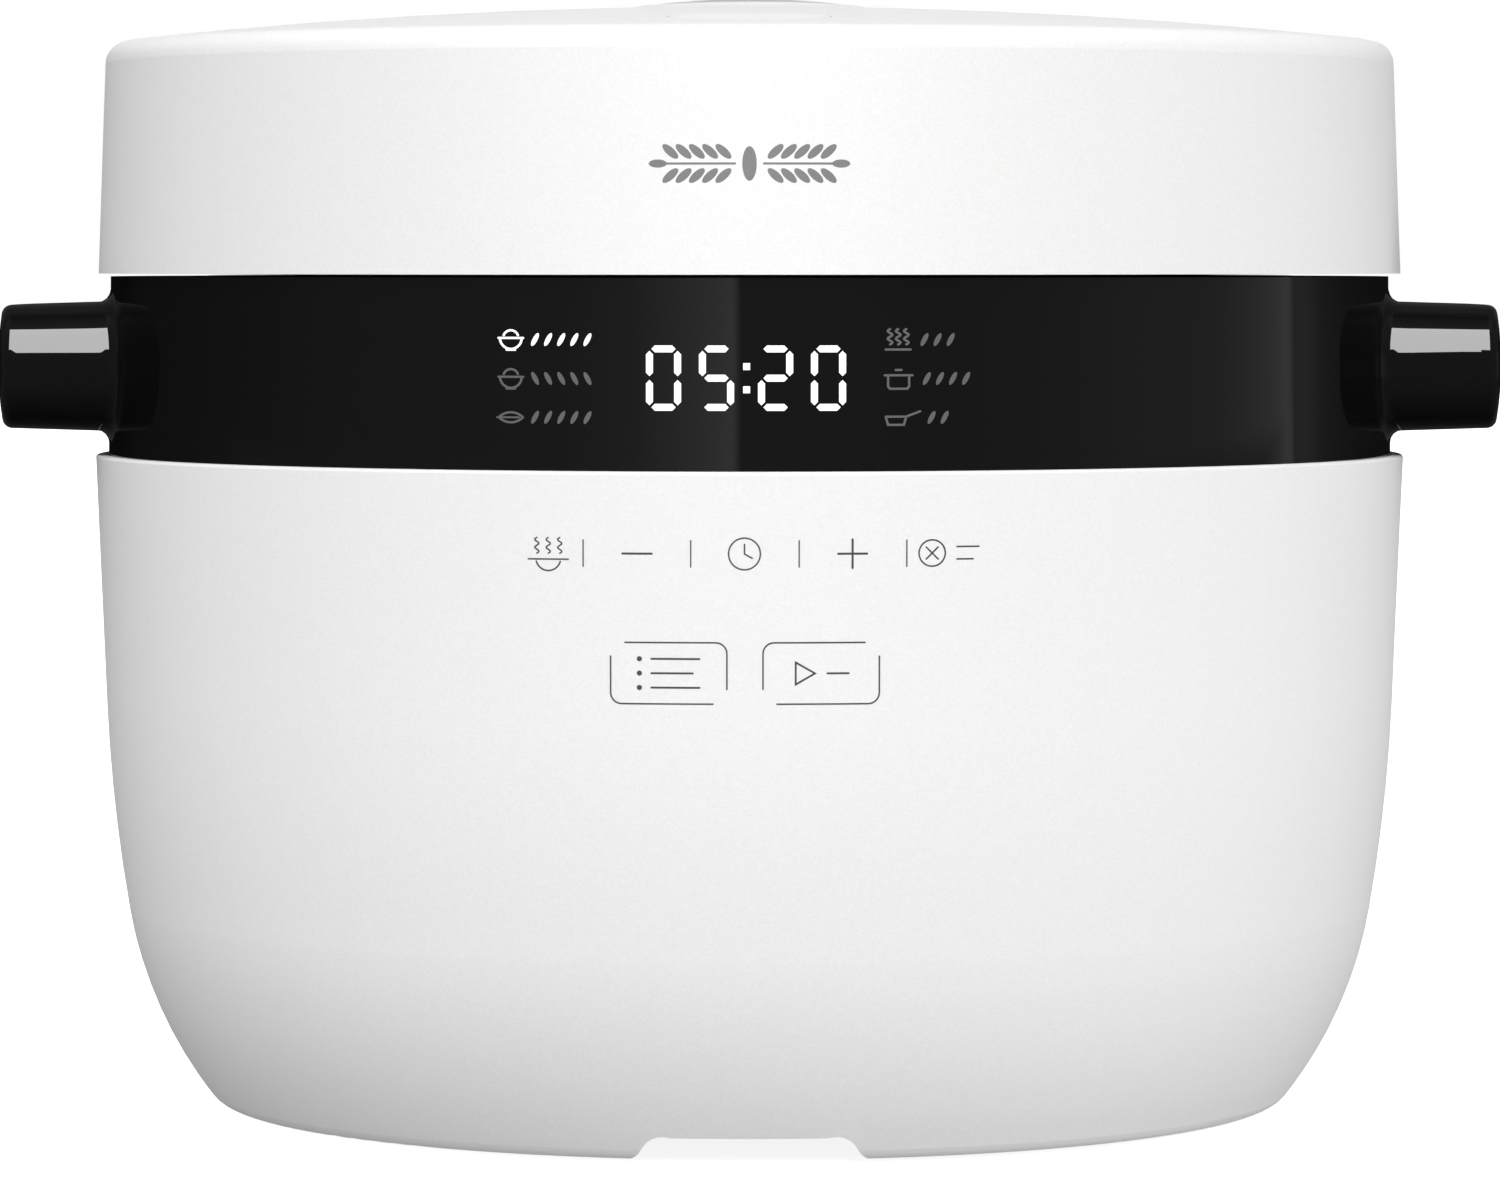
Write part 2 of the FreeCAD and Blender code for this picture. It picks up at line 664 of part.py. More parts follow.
def inner_pot():
    """The lift-out cooking pot, with a rolled rim."""
    body = new_body("inner_pot")
    top = f"({RIM} + rim_thick)"
    wall, bend = "(pot_radius - pot_wall)", f"({POT_BASE} + pot_corner)"
    flat = "(pot_radius - pot_corner)"
    turned(body, [
        ("0", POT_BASE), (flat, POT_BASE), ("pot_radius", bend, "pot_corner", 1), ("pot_radius", RIM),
        (f"{RIM_R} - rim_thick / 2", RIM), (f"{RIM_R} - rim_thick / 2", top, None, 1),
        (f"{wall} + 2.4", top), (wall, f"({top} - 2.4)", "2.4", 1), (wall, bend),
        (flat, f"({POT_BASE} + pot_wall)", "pot_corner - pot_wall", -1), ("0", f"({POT_BASE} + pot_wall)"),
    ])


# ---------------------------------------------------------------- heater, shield, sensor
def heating_plate():
    """The cast plate under the pot, with a hole for the sensor and a stepped underside."""
    body = new_body("heating_plate")
    top = f"({POT_BASE} - part_gap)"
    low = f"({top} - plate_thick)"
    turned(body, [
        ("plate_hole", low), ("plate_hole + 12", low), ("plate_hole + 12", f"{low} + 3"),
        (f"{ELEMENT_R} - 8", f"{low} + 3"), (f"{ELEMENT_R} - 8", low), (f"{ELEMENT_R} + 8", low),
        (f"{ELEMENT_R} + 8", f"{low} + 3"), (f"{PLATE_R} - 2", f"{low} + 3"),
        (PLATE_R, f"{low} + 5"), (PLATE_R, f"{top} - 1.5"),
        (f"{PLATE_R} - 1.5", top, "1.5", 1), ("plate_hole", top),
    ])


def heating_element():
    """The round heating tube under the plate, with two straight cold ends."""
    level = f"({POT_BASE} - 2 * part_gap - plate_thick - element_wire)"
    ring = doc.addObject("Part::Torus", "element_ring")
    bind(ring, "Radius1", ELEMENT_R)
    bind(ring, "Radius2", "element_wire")
    place(ring, "0", "0", level)
    ends = [cylinder("element_end", "2.4", "element_wire + 8", x, ELEMENT_R, f"{level} - 12")
            for x in ("-8", "8")]
    keep(fused("element", [ring, *ends]), "heating_element")


def heat_shield():
    """The steel dish under the heater, which also carries the liner."""
    body = new_body("heat_shield")
    top = f"({POT_BASE} - liner_gap - liner_wall - part_gap)"
    turned(body, [
        ("sensor_stem + 1.5", SHIELD_Z), (SHIELD_R, SHIELD_Z), (SHIELD_R, top),
        (f"{SHIELD_R} - shield_wall", top), (f"{SHIELD_R} - shield_wall", f"{SHIELD_Z} + shield_wall"),
        ("sensor_stem + 1.5", f"{SHIELD_Z} + shield_wall"),
    ])
    for x in ("-8", "8"):
        pocket(body, "XY", [("circle", x, ELEMENT_R, "4")], f"{SHIELD_Z} + shield_wall + 1",
               "shield_wall + 2")


def support_posts():
    """Three posts that stand the shield on the base plate."""
    posts = []
    for degrees in (30, 150, 270):
        x, y = polar(POST_CIRCLE, str(degrees))
        posts.append(cylinder("post", "4", f"{SHIELD_Z} - {BASE_TOP} - 2 * part_gap", x, y,
                              f"{BASE_TOP} + part_gap"))
    grouped("support_posts", posts)


def sensor_parts():
    """The sprung temperature sensor in the middle of the heating plate, and its sleeve."""
    floor = f"({SHIELD_Z} + shield_wall + part_gap)"
    top = f"({POT_BASE} - 0.1)"
    head_low = f"({top} - 8)"
    sleeve = new_body("sensor_sleeve")
    turned(sleeve, [
        ("sensor_stem + sensor_slide", floor), ("sensor_radius + 2", floor),
        ("sensor_radius + 2", f"{floor} + 1.5"), ("sensor_stem + 2", f"{floor} + 1.5"),
        ("sensor_stem + 2", f"{floor} + 10"), ("sensor_stem + sensor_slide", f"{floor} + 10"),
    ])
    plunger = new_body("sensor_plunger")
    turned(plunger, [
        ("0", f"{floor} + 4"), ("sensor_stem", f"{floor} + 4"), ("sensor_stem", head_low),
        ("sensor_radius", head_low), ("sensor_radius", f"{top} - 1.2"),
        ("sensor_radius - 1.2", top, "1.2", 1), ("0", top),
    ])
    coil("sensor_spring", "sensor_stem + 3.3", "wire", 5, f"{head_low} - {floor} - 1.5 - 2 * wire",
         ("0", "0", f"{floor} + 1.5 + wire"), (0, 0, 1))


def thermal_fuse():
    """The heater's thermal cut-out, clipped to the shield's floor."""
    level = f"({SHIELD_Z} + shield_wall + part_gap)"
    clip = block("fuse_clip", "30", "38", "-4.5", "4.5", level, f"{level} + 1.2")
    tube = cylinder("fuse_tube", "2.6", "14", "27", "0", f"{level} + 3.5", "X")
    keep(fused("fuse", [clip, tube]), "thermal_fuse")


# ---------------------------------------------------------------- base
def base_plate():
    """The bottom cover, with cooling slots, foot seats and screw holes."""
    body = new_body("base_plate")
    low = "(foot_proud + base_lift)"
    pad(body, "XY", [("circle", "0", "0", f"{RING_IN} - part_gap * 2")], low, "base_wall")
    slot = pocket(body, "XY", [rounded("38", f"({POST_CIRCLE} - 13)", "-2.2", "2.2", "2.19")],
                  f"{low} + base_wall + 1", "base_wall + 2")
    around(body, slot, 12)
    x, y = polar(BOSS_CIRCLE, "45")
    hole = pocket(body, "XY", [("circle", x, y, "screw_radius + screw_clear")],
                  f"{low} + base_wall + 1", "base_wall + 2")
    around(body, hole, 4)


def rubber_feet():
    """Four rubber feet under the base plate, each a node."""
    height = "(foot_proud + base_lift - 0.05)"
    names = {225: "rubber_foot_front_left", 315: "rubber_foot_front_right",
             45: "rubber_foot_back_right", 135: "rubber_foot_back_left"}
    for degrees, label in names.items():
        body = new_body(label)
        x, y = polar(FOOT_CIRCLE, str(degrees))
        pad(body, "XY", [("circle", x, y, "foot_radius")], "0", height)
        round_edges(body, "1", lambda e: e.BoundBox.ZMax < 0.01)


RECESS = (("1.7", "0.35"), ("0.35", "1.7"))


def screw(x, y, z, length, along="Z"):
    """A pan-head screw with a cross recess, its head's outer face at z (or y), its shank along +."""
    if along == "Z":
        head = cylinder("head", "screw_head", "1.8", x, y, z)
        shank = cylinder("shank", "screw_radius", length, x, y, f"{z} + 1.3")
        slots = [block("slot", f"{x} - {a}", f"{x} + {a}", f"{y} - {b}", f"{y} + {b}",
                       f"{z} - 1", f"{z} + 1") for a, b in RECESS]
    else:
        head = cylinder("head", "screw_head", "1.8", x, y, z, "Y")
        shank = cylinder("shank", "screw_radius", length, x, f"{y} + 1.3", z, "Y")
        slots = [block("slot", f"{x} - {a}", f"{x} + {a}", f"{y} - 1", f"{y} + 1",
                       f"{z} - {b}", f"{z} + {b}") for a, b in RECESS]
    return cut_from("screw", fused("screw_blank", [head, shank]), slots)


def base_screws():
    """The four screws that hold the base plate to the housing's bosses."""
    low = "(foot_proud + base_lift - 1.85)"
    grouped("base_screws", [screw(*polar(BOSS_CIRCLE, str(a)), low, "base_wall + boss_height")
                            for a in (45, 135, 225, 315)])


# ---------------------------------------------------------------- electrics
def power_board():
    """The power board over the base plate, with its standoffs and larger components."""
    low = f"({BASE_TOP} + 4)"
    top = f"({low} + board_thick)"
    keep(block("power_pcb", "-45", "45", "2", "60", low, top), "power_board")
    stands = [cylinder("standoff", "2.5", "4 - 0.1", x, y, f"{BASE_TOP} + 0.05")
              for x in ("-40", "40") for y in ("7", "55")]
    grouped("board_standoffs", stands)
    seat = f"({top} + 0.05)"
    keep(block("relay_case", "-38", "-19", "12", "28", seat, f"{seat} + 12"), "power_relay")
    core = block("core", "-4", "18", "14", "32", seat, f"{seat} + 7")
    winding = block("winding", "-1", "15", "17", "29", f"{seat} + 6", f"{seat} + 12")
    keep(fused("transformer_parts", [core, winding]), "transformer")
    keep(cylinder("can", "5", "12", "30", "22", seat), "filter_capacitor")
    keep(block("terminals", "-30", "30", "44", "52", seat, f"{seat} + 9"), "terminal_block")


def control_board():
    """The upright board behind the band's front, with the clock display and lamp blocks."""
    face = BOARD_Y
    low, high = f"({SEAM} - 50)", f"({DECK_BASE} - 1.8)"
    keep(block("control_pcb", "-54", "54", face, f"{face} + board_thick", low, high), "control_board")
    body = new_body("display_module")
    z0, z1 = f"({DISPLAY_Z} - display_tall / 2)", f"({DISPLAY_Z} + display_tall / 2)"
    deep = f"(-{face} + 11.5)"
    pad(body, "XZ", [rectangle("-display_half", "display_half", z0, z1)], f"(-{face} + 0.1)",
        f"{deep} - (-{face} + 0.1)")
    pocket(body, "XZ", [rectangle("-display_half + 2", "display_half - 2", f"{z0} + 2", f"{z1} - 2")],
           f"{deep} - 0.8", "5", forward=True)
    lamps = [block("lamp", x0, x1, f"{face} - 5.4", f"{face} - 0.1", z0, z1)
             for x0, x1 in (("-52", "-29"), ("29", "52"))]
    grouped("mode_lamp_blocks", lamps)


def touch_film():
    """The curved touch electrode film behind the printed key symbols."""
    body = new_body("touch_film")
    low, high = f"({OUTER[0][1]} + film_margin)", f"({SEAM} - 10)"
    lean = (f"({HOUSING_R} - (housing_wall + 0.3) / cos(housing_draft)"
            f" - ({SEAM} - {{0}}) * tan(housing_draft))")
    profile = sketch(body, "XZ", [[
        (lean.format(low), low), (lean.format(high), high),
        (f"({lean.format(high)} - 0.5)", high), (f"({lean.format(low)} - 0.5)", low)]])
    feature = body.newObject("PartDesign::Revolution", "touch_film_turn")
    feature.Profile = profile
    feature.ReferenceAxis = (profile, ["V_Axis"])
    feature.Angle = 48
    body.Placement.Rotation = FreeCAD.Rotation(FreeCAD.Vector(0, 0, 1), -90 - 24)
    doc.recompute()


def power_inlet():
    """The power inlet at the back: an insulating shell and three flat pins."""
    body = new_body("inlet_shell")
    z0, z1 = "(inlet_level - inlet_tall / 2)", "(inlet_level + inlet_tall / 2)"
    face = INLET_FACE
    pad(body, "XZ", [rectangle("-inlet_half", "inlet_half", z0, z1)], f"-{face}", "inlet_deep")
    s0, s1 = "(inlet_level - socket_tall / 2)", "(inlet_level + socket_tall / 2)"
    pocket(body, "XZ", [[
        ("-socket_half", s0), ("socket_half", s0), ("socket_half", f"{s1} - 5"),
        ("socket_half - 5", s1), ("-socket_half + 5", s1), ("-socket_half", f"{s1} - 5"),
    ]], f"-({face} - socket_deep)", "socket_deep + 1")
    pins = []
    for x, z in (("-7", "-1"), ("7", "-1"), ("0", "3")):
        root = f"({face} - socket_deep + 0.05)"
        pins.append(block("pin", f"{x} - 1", f"{x} + 1", root, f"({face} - 2)",
                          f"inlet_level + ({z}) - 2", f"inlet_level + ({z}) + 2"))
    grouped("inlet_pins", pins)


# ---------------------------------------------------------------- hinge, cup
def hinge_housing():
    """The black block behind the band that carries the hinge pin in two ears."""
    body = new_body("hinge_housing")
    near, back = f"({BAND_R} + part_gap / 2)", f"({HINGE_Y} + knuckle_radius)"
    half = "(ear_out + 2)"
    root = f"sqrt({near}^2 - {half}^2)"
    pad(body, "XY", [[
        (half, root, near, -1), (half, f"({back} - 6)"), (f"({half} - 6)", back, "6", 1),
        (f"(6 - {half})", back), (f"-{half}", f"({back} - 6)", "6", 1), (f"-{half}", root),
    ]], BLOCK_BASE, "hinge_block")
    for level in ("ear_in", "-ear_out"):
        pad(body, "YZ", [[
            (f"({HINGE_Y} - knuckle_radius)", f"({BLOCK_TOP} - 1)"),
            (f"({HINGE_Y} + knuckle_radius)", f"({BLOCK_TOP} - 1)"),
            (f"({HINGE_Y} + knuckle_radius)", HINGE_Z),
            (f"({HINGE_Y} - knuckle_radius)", HINGE_Z, None, 1),
        ]], level, "ear_out - ear_in")
    pocket(body, "YZ", [("circle", HINGE_Y, HINGE_Z, "pin_radius + pin_clear")], "ear_out + 5",
           "2 * ear_out + 10")
    for x in ("-20", "20"):
        pocket(body, "XZ", [("circle", x, SCREW_Z, "screw_radius + screw_clear")],
               f"-({BAND_IN})", "13")


def hinge_parts():
    """The hinge pin, the lid's torsion spring and the screws that hold the block."""
    keep(cylinder("pin_bar", "pin_radius", "2 * ear_out + 1", "-ear_out - 0.5", HINGE_Y, HINGE_Z, "X"),
         "hinge_pin")
    coil("hinge_spring", "pin_radius + 0.8", "wire", 6, "2 * arm_inner - 4",
         ("2 - arm_inner", HINGE_Y, HINGE_Z), (1, 0, 0))
    face = f"(sqrt({BAND_IN}^2 - (20 + screw_head)^2) - 1.9)"
    grouped("hinge_screws", [screw(x, face, SCREW_Z, "10", "Y") for x in ("-20", "20")])


def drain_spout():
    """The channel that leads water from the deck's gutter out to the cup."""
    inner, outer = f"({GUTTER_Y} - 4)", f"({BAND_R} + 9)"
    trough = block("trough", "-4", "4", inner, outer, SPOUT_LOW, SPOUT_HIGH)
    bore = block("bore", "-3", "3", f"{inner} + 1", f"{outer} - 2", f"{SPOUT_LOW} + 1", f"{SPOUT_HIGH} - 1")
    inlet = cylinder("spout_in", "2", "4", "0", GUTTER_Y, f"{SPOUT_HIGH} - 2")
    outlet = cylinder("spout_out", "2", "4", "0", f"({outer} - 4)", f"{SPOUT_LOW} - 2")
    keep(cut_from("spout", trough, [bore, inlet, outlet]), "drain_spout")


CUP_TOP = f"({SPOUT_LOW} - 1)"
CUP_BASE = f"({CUP_TOP} - cup_tall)"
CUP_Y0 = f"({BAND_R} + 1.5)"
CUP_Y1 = f"({BAND_R} + 1.5 + cup_deep)"


def condensate_cup():
    """The small cup that slides off backwards, and the rails that it hangs on."""
    body = new_body("condensate_cup")
    y0, y1 = CUP_Y0, CUP_Y1
    pad(body, "XY", [rounded("-cup_half", "cup_half", y0, y1, "5")], CUP_BASE, "cup_tall")
    lip = "(cup_half + cup_lip)"
    pad(body, "XY", [rectangle(f"-{lip}", lip, f"{y0} + 5", f"{y1} - 5")], f"({CUP_TOP} - 2)", "2")
    pocket(body, "XY", [rounded("-cup_half + cup_wall", "cup_half - cup_wall", f"({y0} + cup_wall)",
                                f"({y1} - cup_wall)", "3.5")], f"{CUP_TOP} + 1", "cup_tall + 1 - cup_wall")
    rail = []
    for side in (1, -1):
        out, near = ("(cup_half + cup_lip + latch_gap + 2.4)", "(cup_half + cup_lip + latch_gap)")
        grip = "(cup_half + latch_gap)"
        spans = [(near, out, f"({CUP_TOP} - 2 - latch_gap - 2)", f"({BLOCK_BASE} - 0.1)"),
                 (grip, out, f"({CUP_TOP} - 2 - latch_gap - 2)", f"({CUP_TOP} - 2 - latch_gap)")]
        pieces = []
        for a, b, z0, z1 in spans:
            x0, x1 = (a, b) if side == 1 else (f"-{b}", f"-{a}")
            pieces.append(block("rail", x0, x1, f"{BAND_R} + 2", f"{CUP_Y1} - 3", z0, z1))
        rail.append(fused("cup_rail", pieces))
    grouped("cup_rails", rail)


# ---------------------------------------------------------------- lid
def lid_cover():
    """The domed white lid cover, with a vent collar, a button opening, bosses and a hinge notch."""
    body = new_body("lid_cover")
    thin = "lid_wall / cos(lid_draft)"
    inner_top = f"({LID_TOP_R} - {thin})"
    ease = f"({HOLE_R} + 3)"
    turned(body, [
        (LID_R, LID_BASE), (LID_TOP_R, LID_CORNER), (COLLAR_R, dome(COLLAR_R), "dome_arc", 1),
        (ease, COLLAR_TOP, "60", -1), (HOLE_R, COLLAR_TOP), (HOLE_R, dome(HOLE_R, "lid_wall")),
        (inner_top, dome(inner_top, "lid_wall"), "dome_arc - lid_wall", -1),
        (f"({LID_R} - {thin})", LID_BASE),
    ])
    round_edges(body, "shoulder_round", lambda e: is_ring(e, LID_TOP_R, LID_CORNER))
    round_edges(body, "0.5", lambda e: is_ring(e, HOLE_R, COLLAR_TOP))
    boss = pad(body, "XY", [("circle", *polar(LID_BOSS, "45"), "lid_boss_radius")],
               f"({COVER_TOP} + 0.1)", f"{dome(LID_BOSS, '1')} - {COVER_TOP} - 0.1")
    around(body, boss, 4)
    hole = pocket(body, "XY", [("circle", *polar(LID_BOSS, "45"), "screw_radius + screw_clear")],
                  f"({COVER_TOP} + 12)", "13")
    around(body, hole, 4)
    clear = "button_clear"
    pocket(body, "XY", [button_plan(clear)], f"{LID_CORNER} + 20", "30")
    pocket(body, "XZ", [rectangle("-ear_in + 0.6", "ear_in - 0.6", f"{LID_BASE} - 1",
                                  f"{HINGE_Z} + knuckle_radius + 1")], f"-({LID_R} - 20)", "30")


LID_BOSS = f"({LID_R} - 17)"


def button_plan(grow):
    """The button's outline from above, larger all round by grow."""
    run, end = "(button_half - button_end)", f"(button_end + {grow})"
    return [
        (f"-{run}", f"({BUTTON_Y} - {end})", None, 1), (run, f"({BUTTON_Y} - {end})"),
        (run, f"({BUTTON_Y} + {end})", None, 1), (f"-{run}", f"({BUTTON_Y} + {end})"),
    ]


def lid_inner_cover():
    """The lid's underside: a flat cover with a rim, a vent passage and a slot for the latch."""
    body = new_body("lid_inner_cover")
    outer = (f"({LID_R} - lid_wall / cos(lid_draft) - ({COVER_TOP} - {LID_BASE}) * tan(lid_draft)"
             " - part_gap)")
    low = f"({LID_BASE} + 0.6)"
    turned(body, [
        ("steam_hole + 1", COVER_BASE), (f"({outer} - inner_rim_wall)", COVER_BASE),
        (f"({outer} - inner_rim_wall)", low), (outer, low), (outer, COVER_TOP),
        ("steam_hole + 1", COVER_TOP),
    ])
    hole = pocket(body, "XY", [("circle", *polar(LID_BOSS, "45"), "screw_radius + screw_clear")],
                  f"{COVER_TOP} + 1", "inner_cover_wall + 2")
    around(body, hole, 4)
    pocket(body, "XY", [rectangle("-latch_half - 1", "latch_half + 1", f"({LATCH_Y} - button_travel - 0.4)",
                                  f"({LATCH_Y} + latch_thick + 1)")], f"{COVER_TOP} + 1",
           "inner_cover_wall + 2")


def lid_screws():
    """The four screws up through the inner cover into the lid's bosses."""
    grouped("lid_screws", [screw(*polar(LID_BOSS, str(a)), f"({COVER_BASE} - 1.85)", "11")
                           for a in (45, 135, 225, 315)])


def inner_lid_plate():
    """The detachable metal plate over the pot, with steam holes round its middle."""
    body = new_body("inner_lid_plate")
    low, high = PLATE_LOW, f"({PLATE_LOW} + 0.8)"
    edge = f"({RIM_R} - 6)"
    turned(body, [
        ("0", f"{low} + 1"), ("30", f"{low} + 1"), ("33", low), (edge, low), (edge, high),
        ("33.3", high), ("30.3", f"{high} + 1"), ("0", f"{high} + 1"),
    ])
    hole = pocket(body, "XY", [("circle", "3.2", "0", "1.1")], f"{high} + 3", "8")
    around(body, hole, 6)
    ring = pocket(body, "XY", [("circle", "24", "0", "1.4")], f"{high} + 3", "8")
    around(body, ring, 12)


PLATE_LOW = f"({LID_BASE} + 1.2)"


def lid_gasket():
    """The silicone ring that grips the plate's edge and closes on the pot's rim."""
    body = new_body("lid_gasket")
    edge, low = f"({RIM_R} - 6)", f"({RIM} + rim_thick + latch_gap)"
    inner, outer = f"({edge} - 3)", f"({RIM_R} + 0.4)"
    groove_low, groove_high = f"({PLATE_LOW} - 0.15)", f"({PLATE_LOW} + 0.95)"
    top = f"({COVER_BASE} - 0.5)"
    turned(body, [
        (inner, groove_low), (f"{inner} + 1.4", f"{groove_low} - 0.8"), (f"{edge} + 1", low),
        (f"({outer} - 1)", low), (outer, f"({low} + 1)", "1", 1), (outer, top), (inner, top),
        (inner, groove_high), (f"{edge} + 0.2", groove_high), (f"{edge} + 0.2", groove_low),
    ])


def vent_parts():
    """The steam vent: its tube in the lid, the seal under it and the lift-off cap."""
    tube = new_body("vent_housing")
    bore = "(vent_plug + plug_clear)"
    low, seat = f"({COVER_TOP} + 0.1)", f"({CAP_BASE} - 0.3)"
    wide = f"({dome(COLLAR_R, 'lid_wall')} - 0.6)"
    turned(tube, [
        ("steam_hole", low), (f"{bore} + vent_tube_wall", low),
        (f"{bore} + vent_tube_wall", f"{wide} - 1.6"),
        (f"{HOLE_R} + 5", f"{wide} - 1.6"), (f"{HOLE_R} + 5", wide), (f"{HOLE_R} - 0.8", wide),
        (f"{HOLE_R} - 0.8", seat), (bore, seat), (bore, f"{low} + 2"), ("steam_hole", f"{low} + 2"),
    ])
    seal = new_body("vent_seal")
    turned(seal, rectangle("steam_hole", "steam_hole + 3", f"({PLATE_LOW} + 1.9)", f"({COVER_BASE} - 0.1)"))
    cap = new_body("vent_cap")
    crown = f"({CAP_EDGE} + cap_crown)"
    sphere = "((vent_radius^2 + cap_crown^2) / (2 * cap_crown))"
    wall = "1.6"
    turned(cap, [
        ("0", f"({crown} - 1.8)"), (f"vent_plug - {wall}", f"({crown} - 2.2)"),
        (f"vent_plug - {wall}", f"({CAP_BASE} - plug_deep)"), ("vent_plug", f"({CAP_BASE} - plug_deep)"),
        ("vent_plug", CAP_BASE), ("vent_radius", CAP_BASE), ("vent_radius", CAP_EDGE),
        ("0", crown, sphere, 1),
    ])
    round_edges(cap, "0.5", lambda e: is_ring(e, "vent_radius", CAP_EDGE))
    slot = pocket(cap, "XY", [rounded("5", "12.5", "-1", "1", "0.99")], f"{crown} + 3", "12")
    around(cap, slot, 6)


def lid_hinge_arm():
    """The steel leaf inside the lid, curled into two knuckles round the hinge pin."""
    body = new_body("lid_hinge_arm")
    top = f"({HINGE_Z} + knuckle_radius)"
    low = f"({top} - arm_thick)"
    pad(body, "YZ", [knuckle_plan(top, low)], "arm_inner", "arm_half - arm_inner")
    pad(body, "XY", [rectangle("-arm_half", "arm_half", f"({HINGE_Y} - 12 - arm_long)",
                               f"({HINGE_Y} - 11.5)")], low, "arm_thick")
    pad(body, "YZ", [knuckle_plan(top, low)], "-arm_half", "arm_half - arm_inner")
    pocket(body, "YZ", [("circle", HINGE_Y, HINGE_Z, "pin_radius + pin_clear")], "arm_half + 5",
           "2 * arm_half + 10")


def knuckle_plan(top, low):
    """A knuckle and its tail from the side."""
    return [
        (f"({HINGE_Y} - knuckle_radius)", HINGE_Z),
        (HINGE_Y, f"({HINGE_Z} - knuckle_radius)", "knuckle_radius", 1),
        (f"({HINGE_Y} + knuckle_radius)", HINGE_Z, "knuckle_radius", 1),
        (HINGE_Y, top, "knuckle_radius", 1), (f"({HINGE_Y} - 12)", top), (f"({HINGE_Y} - 12)", low),
        (f"({HINGE_Y} - knuckle_radius)", low),
    ]


def lid_sensor():
    """The steam temperature sensor that stands on the inner cover."""
    keep(cylinder("sensor_can", "4", "9", "45", "0", f"{COVER_TOP} + 0.1"), "lid_sensor")


# ---------------------------------------------------------------- latch and button
GUIDE_TOP = f"({COVER_TOP} + 15.3)"
ARM_LOW = f"({GUIDE_TOP} + latch_gap)"
ARM_TOP = f"({ARM_LOW} + 2.5)"
RAMP_Y = f"({LATCH_Y} + 8)"
SEAT_TOP = f"({ARM_TOP} + 4)"


def latch_slider():
    """The latch: a hook plate through the lid's underside, an arm and a 45 degree ramp on top."""
    body = new_body("latch_slider")
    back = f"({LATCH_Y} + latch_thick)"
    pad(body, "YZ", [[
        (LATCH_Y, HOOK_Z), (f"({back} + hook_reach)", HOOK_Z),
        (f"({back} + hook_reach)", f"({HOOK_Z} + hook_thick / 2)"), (back, f"({HOOK_Z} + hook_thick)"),
        (back, ARM_LOW), (f"({LATCH_Y} + 24)", ARM_LOW), (f"({LATCH_Y} + 24)", ARM_TOP),
        (f"({RAMP_Y} + 8)", ARM_TOP), (RAMP_Y, f"({ARM_TOP} + 8)"), (LATCH_Y, f"({ARM_TOP} + 8)"),
    ]], "-latch_half", "2 * latch_half")


def latch_guide():
    """The channel in the lid that the latch's arm slides in."""
    out, inner = "(latch_half + latch_gap + 2)", "(latch_half + latch_gap)"
    near, far = f"({LATCH_Y} + 6)", f"({LATCH_Y} + 40)"
    seat = f"({LATCH_Y} + 24)"
    floor = block("guide_floor", f"-{out}", out, near, far, f"{GUIDE_TOP} - 2.2", GUIDE_TOP)
    walls = []
    for side in (1, -1):
        x0, x1 = (inner, out) if side == 1 else (f"-{out}", f"-{inner}")
        walls.append(block("guide_wall", x0, x1, near, far, f"{COVER_TOP} + 0.1", f"{ARM_TOP} + 2.5"))
    end = block("guide_end", f"-{out}", out, f"{far} - 2", far, f"{GUIDE_TOP} - 1", f"{ARM_TOP} + 1.5")
    shelf = block("guide_shelf", f"-{out}", out, seat, f"{seat} + 10", f"{ARM_TOP} + 2.4", SEAT_TOP)
    keep(fused("guide", [floor, *walls, end, shelf]), "latch_guide")
    coil("latch_spring", "1.6", "0.6", 8, "13", ("0", f"({LATCH_Y} + 24.5)", f"({ARM_LOW} + 2.2)"),
         (0, 1, 0))


def latch_keeper():
    """The steel keeper under the deck, drawn latch_gap behind the hook's tip, so the two don't meet."""
    near, top = SLOT_BACK, f"({DECK_BASE} - 0.1)"
    keep(block("keeper", "-latch_half - 4", "latch_half + 4", near, f"{near} + 4", f"{top} - 1", top),
         "latch_keeper")


def release_button():
    """The push button in the lid's top, shaped to the dome, with a wedge that drives the latch."""
    body = new_body("release_button")
    reach = f"({LID_TOP_R} - 8)"
    turned(body, [
        ("0", f"({DOME_CENTRE} + dome_arc - button_thick)"),
        (reach, dome(reach, "button_thick"), "dome_arc - button_thick", -1), (reach, dome(reach)),
        ("0", f"({DOME_CENTRE} + dome_arc)", "dome_arc", 1),
    ])
    pocket(body, "XY", [("circle", "0", "0", f"{LID_TOP_R} + 10"), button_plan("0")],
           f"{LID_CORNER} + 30", "60")
    shift = "(latch_gap * 1.42)"
    foot = f"({ARM_TOP} + button_travel + 0.5)"
    front, rear = f"({RAMP_Y} + 4)", f"({RAMP_Y} + 13)"
    tip = f"({RAMP_Y} + 8 - ({foot} - {ARM_TOP}) + {shift})"
    pad(body, "YZ", [[
        (front, f"({ARM_TOP} + 4 + {shift})"), (tip, foot), (rear, foot), (rear, dome(BUTTON_Y, "2")),
        (front, dome(BUTTON_Y, "2")),
    ]], "-latch_half + 1", "2 * latch_half - 2")
    spring_y = f"({LATCH_Y} + 29)"
    coil("button_spring", "3", "wire", 6, f"{dome(spring_y, 'button_thick')} - {SEAT_TOP} - 2 * wire",
         ("0", spring_y, f"({SEAT_TOP} + wire)"), (0, 0, 1))


